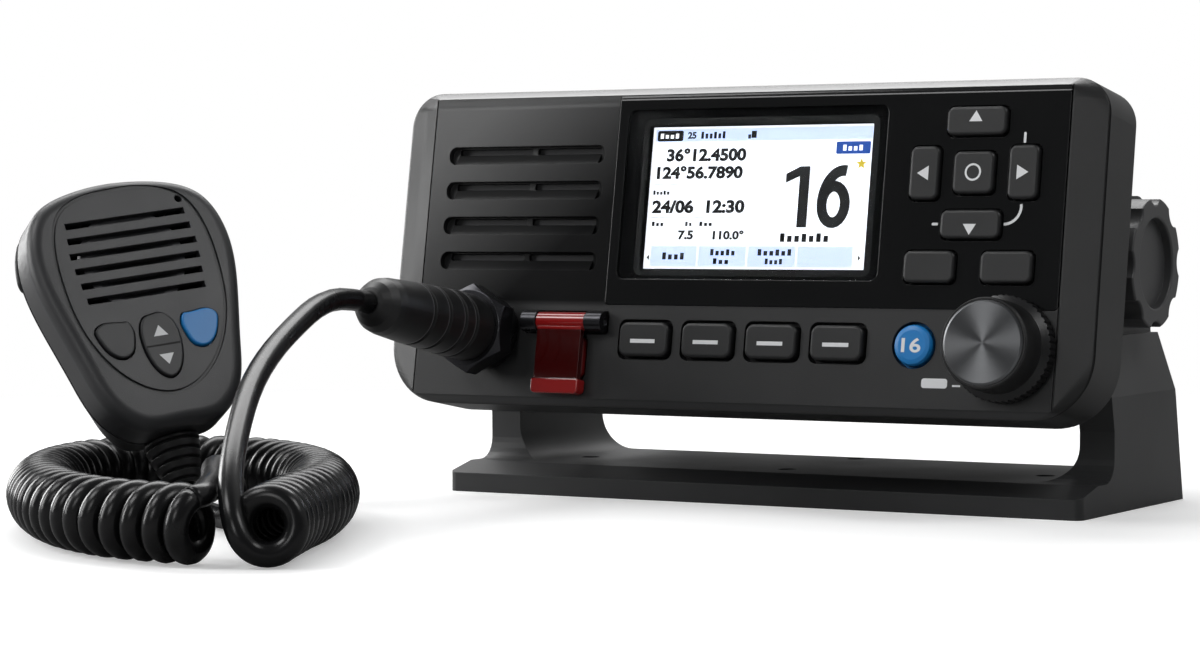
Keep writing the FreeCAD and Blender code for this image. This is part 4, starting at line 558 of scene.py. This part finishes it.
def shade_louvres(material):
    """The louvred part catches the light at its upper left and is dull towards the display panel."""
    tree = material.node_tree
    up = measure_along(tree, RADIO_UP, RADIO_ORIGIN)
    across = measure_along(tree, ACROSS_RADIO, RADIO_ORIGIN)
    zone = product(tree, between(tree, across, *LOUVRES_ACROSS, LOUVRES_SOFT),
                   between(tree, up, *LOUVRES_UP, LOUVRES_SOFT))
    slant = measure_along(tree, SLANT, RADIO_ORIGIN)
    sheen = ramp(tree, slant, DULL_FROM, GLOSSY_FROM, DULL, GLOSSY)
    gloss = add_node(tree, "Mix", {"Factor": zone, "A": PLAIN_GLOSS, "B": sheen}).outputs["Result"]
    feed(tree, tree.nodes["Principled BSDF"], {"Specular IOR Level": gloss})
    rise = ramp(tree, slant, FLAT_FROM, LEANT_FROM, high=MOST_LEAN)
    lean_up(material, product(tree, rise, zone), 1.0)


def paint_cover(material):
    """The cover's flap is thin and dark between its bright tube and lip."""
    tree = material.node_tree
    up = measure_along(tree, RADIO_UP, RADIO_ORIGIN)
    paint_zone(material, between(tree, up, *FLAP_UP), FLAP_COLOR)


def paint_boot_rim_highlights(material):
    """Painted highlights: the boot's ribs get pale rims beside their grooves."""
    tree = material.node_tree
    outward = measure_along(tree, -INTO_RADIO, RADIO_ORIGIN)
    # Each rim gets a pale painted highlight ring
    for rim in BOOT_RIM_HIGHLIGHTS:
        paint_zone(material, between(tree, outward, rim, rim + RIM_HIGHLIGHT_WIDTH, RIM_HIGHLIGHT_SOFT), RIM_HIGHLIGHT_COLOR)


def polish_top(material, low, high, soft):
    """The face rolls over to a polished edge at its top, between two levels up the face."""
    tree = material.node_tree
    up = measure_along(tree, RADIO_UP, RADIO_ORIGIN)
    depth = measure_along(tree, INTO_RADIO, RADIO_ORIGIN)
    edge = product(tree, between(tree, up, low, high, soft), between(tree, depth, *EDGE_DEPTH, EDGE_SOFT))
    lean_up(material, edge, EDGE_LEAN)
    feed(tree, tree.nodes["Principled BSDF"], {"Coat Weight": product(tree, edge, EDGE_COAT)})


def brush_face(material, centre, axis):
    """Circular brushing: fine rings round the knob's axis, with the sheen that they give."""
    tree = material.node_tree
    inputs = {0: object_place(tree), 1: centre}
    outward = add_node(tree, "VectorMath", inputs, operation="SUBTRACT").outputs[0]
    around = add_node(tree, "VectorMath", {0: outward, 1: axis}, operation="CROSS_PRODUCT").outputs[0]
    distance = add_node(tree, "VectorMath", {0: outward}, operation="LENGTH").outputs["Value"]
    rings = add_node(tree, "TexNoise", {"W": distance, "Scale": RING_SCALE}, noise_dimensions="1D")
    inputs = {"Strength": RING_STRENGTH, "Distance": RING_DEPTH, "Height": rings.outputs["Fac"]}
    bump = add_node(tree, "Bump", inputs)
    feed(tree, tree.nodes["Principled BSDF"],
         {"Tangent": around, "Anisotropic": BRUSHED, "Normal": bump.outputs["Normal"]})


def dress_frame():
    """Give every CAD node the finish of its slot, and two of them one of their own."""
    for entry in frame["record"]["subparts"]:
        node = frame["nodes"][entry["node"]]
        node.data.materials.clear()
        node.data.materials.append(materials[entry["material_slot"]])
    frame["nodes"]["grille_mesh"].data.materials[0] = materials["mesh_dark"]
    frame["nodes"]["plug_boot"].data.materials[0] = materials["boot_black"]


materials = {name: new_material(name, **finish) for name, finish in FINISHES.items()}
paint_strip_and_lip_highlight(materials["panel_black"])
shade_louvres(materials["panel_black"])
paint_cover(materials["red_cover"])
paint_boot_rim_highlights(materials["boot_black"])
polish_top(materials["panel_black"], *PANEL_EDGE)
polish_top(materials["deck_gloss"], *DECK_EDGE)
brush_face(materials["knob_face"], KNOB_CENTRE, INTO_RADIO)
dress_frame()


# ---------------------------------------------------------------- cord

CORD_RADIUS = 2.45
CORD_SIDES = 14
HELIX_RADIUS = 5.6
TURNS = 58
POINTS_A_TURN = 12
FIRST_PHASE = math.radians(205)
LAST_PHASE = math.radians(100)
RING_LIFT = 8.1
RING_RESOLUTION = 12
LINE_RESOLUTION = 3

# Where the lead and the tail start to follow the radio and the microphone, and where they follow them fully
LEAD_STILL, LEAD_HELD = (0, 0, 18 * MM), (0, 0, 45 * MM)
TAIL_STILL, TAIL_HELD = Vector((-72, -133, 2.6)) * MM, Vector((-94.4, -116.4, 6.8)) * MM

LEAD_ROUTE = [(-61.6, -92.43, 47.04), (-61.6, -101.8, 48.6), (-59.4, -114.2, 47.3), (-55.9, -126.9, 43.6),
              (-50.9, -143.2, 38.2), (-44.4, -158.6, 32.3), (-36.6, -172.9, 25.3), (-29.6, -184.6, 18.6),
              (-25.6, -190.2, 13.6), (-22.8, -193, 9.4)]
RING_ROUTE = [(-16.5, -191), (-25.3, -173.8), (-35.3, -149.8), (-50.4, -124.8), (-68.5, -103.4),
              (-90.8, -87.9), (-111.6, -86.4), (-124.2, -96.3), (-126, -114.2), (-115.3, -137.6),
              (-97.4, -160.4), (-76.6, -179.7), (-58.5, -189.5), (-46.5, -193), (-30, -193.6)]
TAIL_ROUTE = [(-32.4, -189, 14.4), (-34.5, -184, 14.8), (-38.5, -178.5, 16.3), (-42.1, -173.9, 17.3),
              (-46.1, -164.6, 16.2), (-50.4, -155.9, 11.3), (-55.8, -148.1, 6.2), (-63.2, -140.2, 3.2),
              (-72.2, -133, 2.6), (-79.8, -126.8, 2.6), (-85.8, -121.8, 2.5), (-90.1, -118.6, 2.7),
              (-93.2, -116.7, 4.1), (-94.37, -116.42, 6.75)]


def spline_line(points, resolution):
    """The points along a smooth NURBS line with these control points, in metres."""
    curve = bpy.data.curves.new("line", "CURVE")
    curve.dimensions = "3D"
    curve.resolution_u = resolution
    spline = curve.splines.new("NURBS")
    spline.points.add(len(points) - 1)
    for point, place in zip(spline.points, points):
        point.co = (*[coordinate * MM for coordinate in place], 1)
    spline.order_u = 3
    spline.use_endpoint_u = True
    holder = bpy.data.objects.new("line", curve)
    bpy.context.scene.collection.objects.link(holder)
    depsgraph = bpy.context.evaluated_depsgraph_get()
    mesh = bpy.data.meshes.new_from_object(holder.evaluated_get(depsgraph))
    line = [vertex.co.copy() for vertex in mesh.vertices]
    bpy.data.meshes.remove(mesh)
    bpy.data.objects.remove(holder)
    bpy.data.curves.remove(curve)
    return line


def line_length(line):
    return sum((after - before).length for before, after in zip(line, line[1:]))


def walk(line, steps):
    """Places and directions at even steps along a line, the two ends included."""
    lengths = [0.0]
    for before, after in zip(line, line[1:]):
        lengths.append(lengths[-1] + (after - before).length)
    index = 0
    for step in range(steps + 1):
        goal = lengths[-1] * step / steps
        while index < len(line) - 2 and lengths[index + 1] < goal:
            index += 1
        share = (goal - lengths[index]) / (lengths[index + 1] - lengths[index])
        direction = (line[index + 1] - line[index]).normalized()
        yield line[index].lerp(line[index + 1], share), direction


def helix_points():
    """Turns round the ring's line, as control points in millimetres."""
    ring = spline_line([(x, y, RING_LIFT) for x, y in RING_ROUTE], RING_RESOLUTION)
    total = TURNS * 2 * math.pi + LAST_PHASE - FIRST_PHASE
    steps = round(total / (2 * math.pi) * POINTS_A_TURN)
    upward = Vector((0, 0, 1))
    points = []
    for step, (place, direction) in enumerate(walk(ring, steps)):
        phase = FIRST_PHASE + total * step / steps
        right = direction.cross(upward).normalized()
        offset = right * math.cos(phase) + upward * math.sin(phase)
        points.append(tuple(place / MM + offset * HELIX_RADIUS))
    return points


def tube(name, line, radius, sides=CORD_SIDES):
    """A round tube along a line, with a flat disc at each end."""
    mesh = bpy.data.meshes.new(name)
    builder = bmesh.new()
    across = (line[1] - line[0]).orthogonal().normalized()
    turns = [2 * math.pi * number / sides for number in range(sides)]
    rings = []
    for index, place in enumerate(line):
        before = line[max(0, index - 1)]
        after = line[min(len(line) - 1, index + 1)]
        direction = (after - before).normalized()
        across = (across - direction * across.dot(direction)).normalized()
        upward = direction.cross(across)
        rings.append([builder.verts.new(place + (across * math.cos(turn) + upward * math.sin(turn)) * radius)
                      for turn in turns])
    for first, second in zip(rings, rings[1:]):
        for number in range(sides):
            other = (number + 1) % sides
            builder.faces.new((first[number], first[other], second[other], second[number])).smooth = True
    builder.faces.new(list(reversed(rings[0])))
    builder.faces.new(rings[-1])
    builder.to_mesh(mesh)
    builder.free()
    piece = bpy.data.objects.new(name, mesh)
    bpy.context.scene.collection.objects.link(piece)
    return piece


def make_cord():
    """One smooth line from plug to microphone, as a lead with the curly part and a tail."""
    helix = helix_points()
    line = spline_line([*LEAD_ROUTE, *helix, *TAIL_ROUTE], LINE_RESOLUTION)
    last_turn = Vector(helix[-2]) * MM
    split = min(range(len(line) // 2, len(line)), key=lambda index: (line[index] - last_turn).length)
    coil_line, tail_line = line[:split + 1], line[split:]
    coil = tube("curly_cord", coil_line, CORD_RADIUS * MM)
    tail = tube("cord_into_microphone", tail_line, CORD_RADIUS * MM)
    for piece in (coil, tail):
        piece.data.materials.append(materials["cord_black"])
        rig.slot(piece, "cord_black")
    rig.replaces(coil, "cord_lead", "cord_coil")
    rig.replaces(tail, "cord_tail")
    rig.blend(coil, "root", "radio", start=LEAD_STILL, end=LEAD_HELD)
    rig.blend(tail, "root", "mic", start=TAIL_STILL, end=TAIL_HELD)
    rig.cord(coil, exit=coil_line[0], length=round(line_length(coil_line), 3), diameter=2 * CORD_RADIUS * MM,
            far_end="object", stiffness="medium", lay="coiled", path=coil_line,
            with_pieces=["plug_boot", "plug_nut"])
    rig.cord(tail, exit=tail_line[0], length=round(line_length(tail_line), 3), diameter=2 * CORD_RADIUS * MM,
            far_end="object", stiffness="medium", lay="loose", path=tail_line)


make_cord()


# ---------------------------------------------------------------- printed marks

# How deep each printed face lies, just in front of the solid that carries it
KEY_FACE = -1.22
MIC_KEY_FACE = -0.82
DECK_FACE = -0.02

SOFT_KEYS = 4
SOFT_KEY_FIRST, SOFT_KEY_PITCH = -19, 16.23
ENTER_RING = (59.6, 16.2, 1.7, 0.45)


def print_shapes(name, body, outlines, depth, finish, place=on_radio):
    """Thin printed shapes: closed outlines, anticlockwise from the front, at one depth."""
    mesh = bpy.data.meshes.new(name)
    builder = bmesh.new()
    for outline in outlines:
        builder.faces.new([builder.verts.new(place(across, depth, up)) for across, up in outline])
    builder.to_mesh(mesh)
    builder.free()
    mesh.materials.append(materials[finish])
    piece = bpy.data.objects.new(name, mesh)
    bpy.context.scene.collection.objects.link(piece)
    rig.ride(piece, body)


def bar(left, right, bottom, top):
    return [(left, bottom), (right, bottom), (right, top), (left, top)]


def round_bar(left, right, bottom, top, radius, steps=5):
    """A bar with rounded corners."""
    outline = []
    corners = ((right - radius, top - radius), (left + radius, top - radius),
               (left + radius, bottom + radius), (right - radius, bottom + radius))
    for quarter, (across, up) in enumerate(corners):
        for step in range(steps + 1):
            turn = math.pi / 2 * (quarter + step / steps)
            outline.append((across + radius * math.cos(turn), up + radius * math.sin(turn)))
    return outline


def ellipse(across, up, half_width, half_height, start, end, steps=24):
    """Points along an ellipse between two angles in degrees."""
    turns = [math.radians(start + (end - start) * step / steps) for step in range(steps + 1)]
    return [(across + half_width * math.cos(turn), up + half_height * math.sin(turn)) for turn in turns]


def arc_band(across, up, radius, width, start, end, steps=10):
    """Part of a ring between two angles in degrees."""
    outer, inner = radius + width / 2, radius - width / 2
    return (ellipse(across, up, outer, outer, start, end, steps)
            + ellipse(across, up, inner, inner, start, end, steps)[::-1])


def figures(text, left, right, bottom, top, weight):
    """Figures in the plain built-in typeface, fitted to a box, as flat outlines."""
    curve = bpy.data.curves.new("figures", "FONT")
    curve.body = text
    curve.resolution_u = 4
    curve.offset = weight
    holder = bpy.data.objects.new("figures", curve)
    bpy.context.scene.collection.objects.link(holder)
    mesh = bpy.data.meshes.new_from_object(holder.evaluated_get(bpy.context.evaluated_depsgraph_get()))
    places = [vertex.co for vertex in mesh.vertices]
    low = Vector(min(place[axis] for place in places) for axis in range(2))
    high = Vector(max(place[axis] for place in places) for axis in range(2))
    fitted = [(left + (place.x - low.x) / (high.x - low.x) * (right - left),
               bottom + (place.y - low.y) / (high.y - low.y) * (top - bottom)) for place in places]
    outlines = [[fitted[number] for number in face.vertices] for face in mesh.polygons]
    bpy.data.meshes.remove(mesh)
    bpy.data.objects.remove(holder)
    bpy.data.curves.remove(curve)
    return outlines


def stroke(points, width):
    """A line drawn with a broad pen: one four-sided face for each step of it."""
    edges = []
    for number, point in enumerate(points):
        before, after = points[max(0, number - 1)], points[min(len(points) - 1, number + 1)]
        along = Vector((after[0] - before[0], after[1] - before[1])).normalized() * width / 2
        edges.append(((point[0] - along.y, point[1] + along.x), (point[0] + along.y, point[1] - along.x)))
    return [[left, right, next_right, next_left]
            for (left, right), (next_left, next_right) in zip(edges, edges[1:])]


def bold_one(left, right, bottom, top):
    """The figure 1: an upright bar with a flag at its top left."""
    stem = right - 0.42 * (right - left)
    height = top - bottom
    flag = [(left, top - 0.27 * height), (left, top - 0.12 * height),
            (stem, top), (stem, top - 0.16 * height)]
    return [bar(stem, right, bottom, top), flag]


def bold_six(left, right, bottom, top):
    """The figure 6: a closed bowl and an arm that curves up to the right."""
    pen = 0.3 * (right - left)
    height = top - bottom
    middle, half_width = (left + right) / 2, (right - left - pen) / 2
    half_height = 0.29 * height
    centre = bottom + pen / 2 + half_height
    bowl = ellipse(middle, centre, half_width, half_height, -8, 368)
    arm = ellipse(middle + 0.75 * half_width, centre, 1.75 * half_width, height - pen - half_height, 180, 82)
    return stroke(bowl, pen) + stroke(arm, pen)


def print_keys():
    """Plain arrows, dashes and a channel number on the keys, and guide lines round the arrow keys."""
    marks = [("up_mark", "key_up", [[(57.9, 27.3), (61, 27.3), (59.45, 29.7)]]),
             ("down_mark", "key_down", [[(58.1, 4.9), (59.65, 2.5), (61.2, 4.9)]]),
             ("left_mark", "key_left", [[(46.4, 16.1), (49.1, 14.5), (49.1, 17.7)]]),
             ("right_mark", "key_right", [[(72.5, 16.1), (69.8, 17.7), (69.8, 14.5)]]),
             ("enter_mark", "key_enter", [arc_band(*ENTER_RING, 0, 180), arc_band(*ENTER_RING, 180, 360)])]
    for number in range(SOFT_KEYS):
        middle = SOFT_KEY_FIRST + SOFT_KEY_PITCH * number
        marks.append((f"soft_mark_{number + 1}", f"soft_key_{number + 1}",
                      [bar(middle - 3.2, middle + 3.2, -22.3, -21.4)]))
    marks.append(("channel_mark", "key_channel", figures("16", 45.6, 50.2, -23.2, -20, 0.02)))
    for name, body, outlines in marks:
        print_shapes(name, body, outlines, KEY_FACE, "print_white")
    guides = [round_bar(70.4, 71, 22.6, 25, 0.25), arc_band(67.1, 8.8, 3.8, 0.6, -90, 8),
              round_bar(50.2, 51.7, 4.75, 5.35, 0.25)]
    caption = [round_bar(50.4, 56.5, -30.7, -28.6, 0.6)]
    caption_mark = [bar(57.7, 59.6, -30.3, -29.9)]
    for name, outlines in (("key_guides", guides), ("knob_caption", caption),
                           ("knob_caption_mark", caption_mark)):
        print_shapes(name, "radio", outlines, DECK_FACE, "print_white")


def print_microphone():
    """Arrows on the rocker and a groove line between its halves."""
    for name, outline, finish in (
            ("mic_up_mark", [(-1.7, -17.4), (1.7, -17.4), (0, -14.9)], "print_white"),
            ("mic_down_mark", [(-1.7, -21.7), (0, -24.2), (1.7, -21.7)], "print_white"),
            ("mic_rocker_line", bar(-4, 4, -19.75, -19.35), "gap_black")):
        print_shapes(name, "mic_rocker", [outline], MIC_KEY_FACE, finish, on_mic)


print_keys()
print_microphone()


# ---------------------------------------------------------------- screen

SCREEN_LEFT, SCREEN_TOP = -22.45, 27.95
SCREEN_WIDTH, SCREEN_HEIGHT = 56.3, 32.7
LCD_FACE = 2.62
LAYER = 0.02
FIGURE_WEIGHT = 0.045
STAR_RADIUS = 1.4

# Heights of the blocks that stand for a caption's letters, and a block's share of its pitch
LETTER_HEIGHTS = (1, 0.72, 0.72, 0.95, 0.72)
LETTER_WIDTH = 0.62

# The window's printed border: its outer left, right, bottom and top, its depth, and the edge round the screen
MASK_LEFT, MASK_RIGHT, MASK_BOTTOM, MASK_TOP = -27.9, 37.9, -7.4, 31.6
MASK_FACE = 1.22
MASK_OPENING = (-0.004, 1.004, -0.006, 1.006)

# Boxes on the screen: left, right, top and bottom, as shares of its width and height
TOP_BAND = (0.012, 0.99, 0.015, 0.105)
BOTTOM_BANDS = tuple((left, right, 0.84, 0.985)
                     for left, right in ((0.03, 0.243), (0.25, 0.468), (0.475, 0.69), (0.697, 0.94)))
LINES = ((0.01, 0.45, 0.4, 0.407), (0.01, 0.45, 0.635, 0.642), (0.452, 0.456, 0.11, 0.83),
         (0.226, 0.229, 0.66, 0.8))
TAG = (0.02, 0.14, 0.025, 0.1)
STEPS = ((0.437, 0.45, 0.06, 0.09), (0.452, 0.475, 0.035, 0.085))
FIGURES = (
    ("25", (0.16, 0.2, 0.035, 0.085)),
    ("36°12.4500", (0.07, 0.435, 0.15, 0.245)),
    ("124°56.7890", (0.03, 0.425, 0.275, 0.37)),
    ("24/06  12:30", (0.02, 0.445, 0.515, 0.61)),
    ("7.5", (0.15, 0.22, 0.73, 0.795)),
    ("110.0°", (0.31, 0.45, 0.73, 0.795)),
)
BIG_ONE = (0.622, 0.727, 0.288, 0.71)
BIG_SIX = (0.766, 0.912, 0.282, 0.716)
CAPTIONS = (
    ((0.222, 0.34, 0.035, 0.085), 6), ((0.02, 0.1, 0.447, 0.478), 5), ((0.025, 0.085, 0.668, 0.7), 3),
    ((0.18, 0.215, 0.668, 0.7), 2), ((0.245, 0.31, 0.668, 0.7), 3), ((0.615, 0.84, 0.75, 0.81), 7),
    ((0.085, 0.195, 0.885, 0.935), 4), ((0.305, 0.425, 0.86, 0.905), 5), ((0.32, 0.4, 0.925, 0.965), 3),
    ((0.52, 0.68, 0.86, 0.905), 6), ((0.555, 0.64, 0.925, 0.965), 4),
)
LABEL = (0.835, 0.985, 0.12, 0.205)
PALE_CAPTIONS = (((0.034, 0.128, 0.045, 0.08), 4), ((0.865, 0.96, 0.143, 0.183), 4))
LEFT_ARROW, RIGHT_ARROW = (0.012, 0.024, 0.9, 0.94), (0.964, 0.976, 0.9, 0.94)
STAR_CENTRE = (0.95, 0.95, 0.275, 0.275)


def on_screen(left, right, top, bottom):
    """Left, right, bottom and top in the radio's frame, from shares of the screen's width and height."""
    return (SCREEN_LEFT + left * SCREEN_WIDTH, SCREEN_LEFT + right * SCREEN_WIDTH,
            SCREEN_TOP - bottom * SCREEN_HEIGHT, SCREEN_TOP - top * SCREEN_HEIGHT)


def caption_marks(box, count):
    """A caption as a row of plain blocks, one for each letter."""
    left, right, bottom, top = on_screen(*box)
    pitch = (right - left) / count
    heights = [LETTER_HEIGHTS[number % len(LETTER_HEIGHTS)] for number in range(count)]
    return [bar(left + pitch * number, left + pitch * (number + LETTER_WIDTH),
                bottom, bottom + (top - bottom) * height) for number, height in enumerate(heights)]


def star_faces(across, up, radius):
    """A star with five points, as triangles round its centre."""
    tips = []
    for step in range(10):
        reach = radius if step % 2 == 0 else radius * 0.42
        turn = math.radians(90 + 36 * step)
        tips.append((across + reach * math.cos(turn), up + reach * math.sin(turn)))
    return [[(across, up), tips[step], tips[(step + 1) % 10]] for step in range(10)]


def screen_ink():
    """What is printed in black on the screen: figures, captions as blocks, and small marks."""
    ink = [round_bar(*on_screen(*TAG), 0.5)] + [bar(*on_screen(*step)) for step in STEPS]
    for text, box in FIGURES:
        ink += figures(text, *on_screen(*box), FIGURE_WEIGHT)
    ink += bold_one(*on_screen(*BIG_ONE)) + bold_six(*on_screen(*BIG_SIX))
    for box, count in CAPTIONS:
        ink += caption_marks(box, count)
    left, right, bottom, top = on_screen(*LEFT_ARROW)
    ink.append([(left, (bottom + top) / 2), (right, bottom), (right, top)])
    left, right, bottom, top = on_screen(*RIGHT_ARROW)
    ink.append([(right, (bottom + top) / 2), (left, top), (left, bottom)])
    return ink


def print_screen():
    """The lit picture on the display, in layers: bands, lines, figures and plain marks."""
    lines = [bar(*on_screen(*line)) for line in LINES]
    bands = [bar(*on_screen(*band)) for band in (TOP_BAND, *BOTTOM_BANDS)]
    across, _, _, up = on_screen(*STAR_CENTRE)
    pale = [mark for box, count in PALE_CAPTIONS for mark in caption_marks(box, count)]
    for name, outlines, level, finish in (
            ("ground", [bar(*on_screen(0, 1, 0, 1))], 0, "screen_white"),
            ("bands", bands, 1, "screen_pale"),
            ("lines", lines, 1, "screen_line"),
            ("figures", screen_ink(), 2, "screen_ink"),
            ("label", [round_bar(*on_screen(*LABEL), 0.3)], 2, "screen_navy"),
            ("star", star_faces(across, up, STAR_RADIUS), 2, "screen_gold"),
            ("reversed", pale, 3, "screen_white")):
        print_shapes("screen_" + name, "radio", outlines, LCD_FACE - level * LAYER, finish)


def print_window_mask():
    """The black border printed on the back of the window, round the screen."""
    left, right, bottom, top = on_screen(*MASK_OPENING)
    border = [bar(MASK_LEFT, MASK_RIGHT, top, MASK_TOP), bar(MASK_LEFT, MASK_RIGHT, MASK_BOTTOM, bottom),
              bar(MASK_LEFT, left, bottom, top), bar(right, MASK_RIGHT, bottom, top)]
    print_shapes("window_mask", "radio", border, MASK_FACE, "gap_black")


print_screen()
print_window_mask()


# ---------------------------------------------------------------- end

def plain(box):
    """A box as plain numbers that can be written."""
    return [[float(number) for number in corner] for corner in box]


visual_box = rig.bounds()
with open("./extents.json", "w") as out:
    json.dump({"cad": plain(cad_box), "visual": plain(visual_box)}, out)
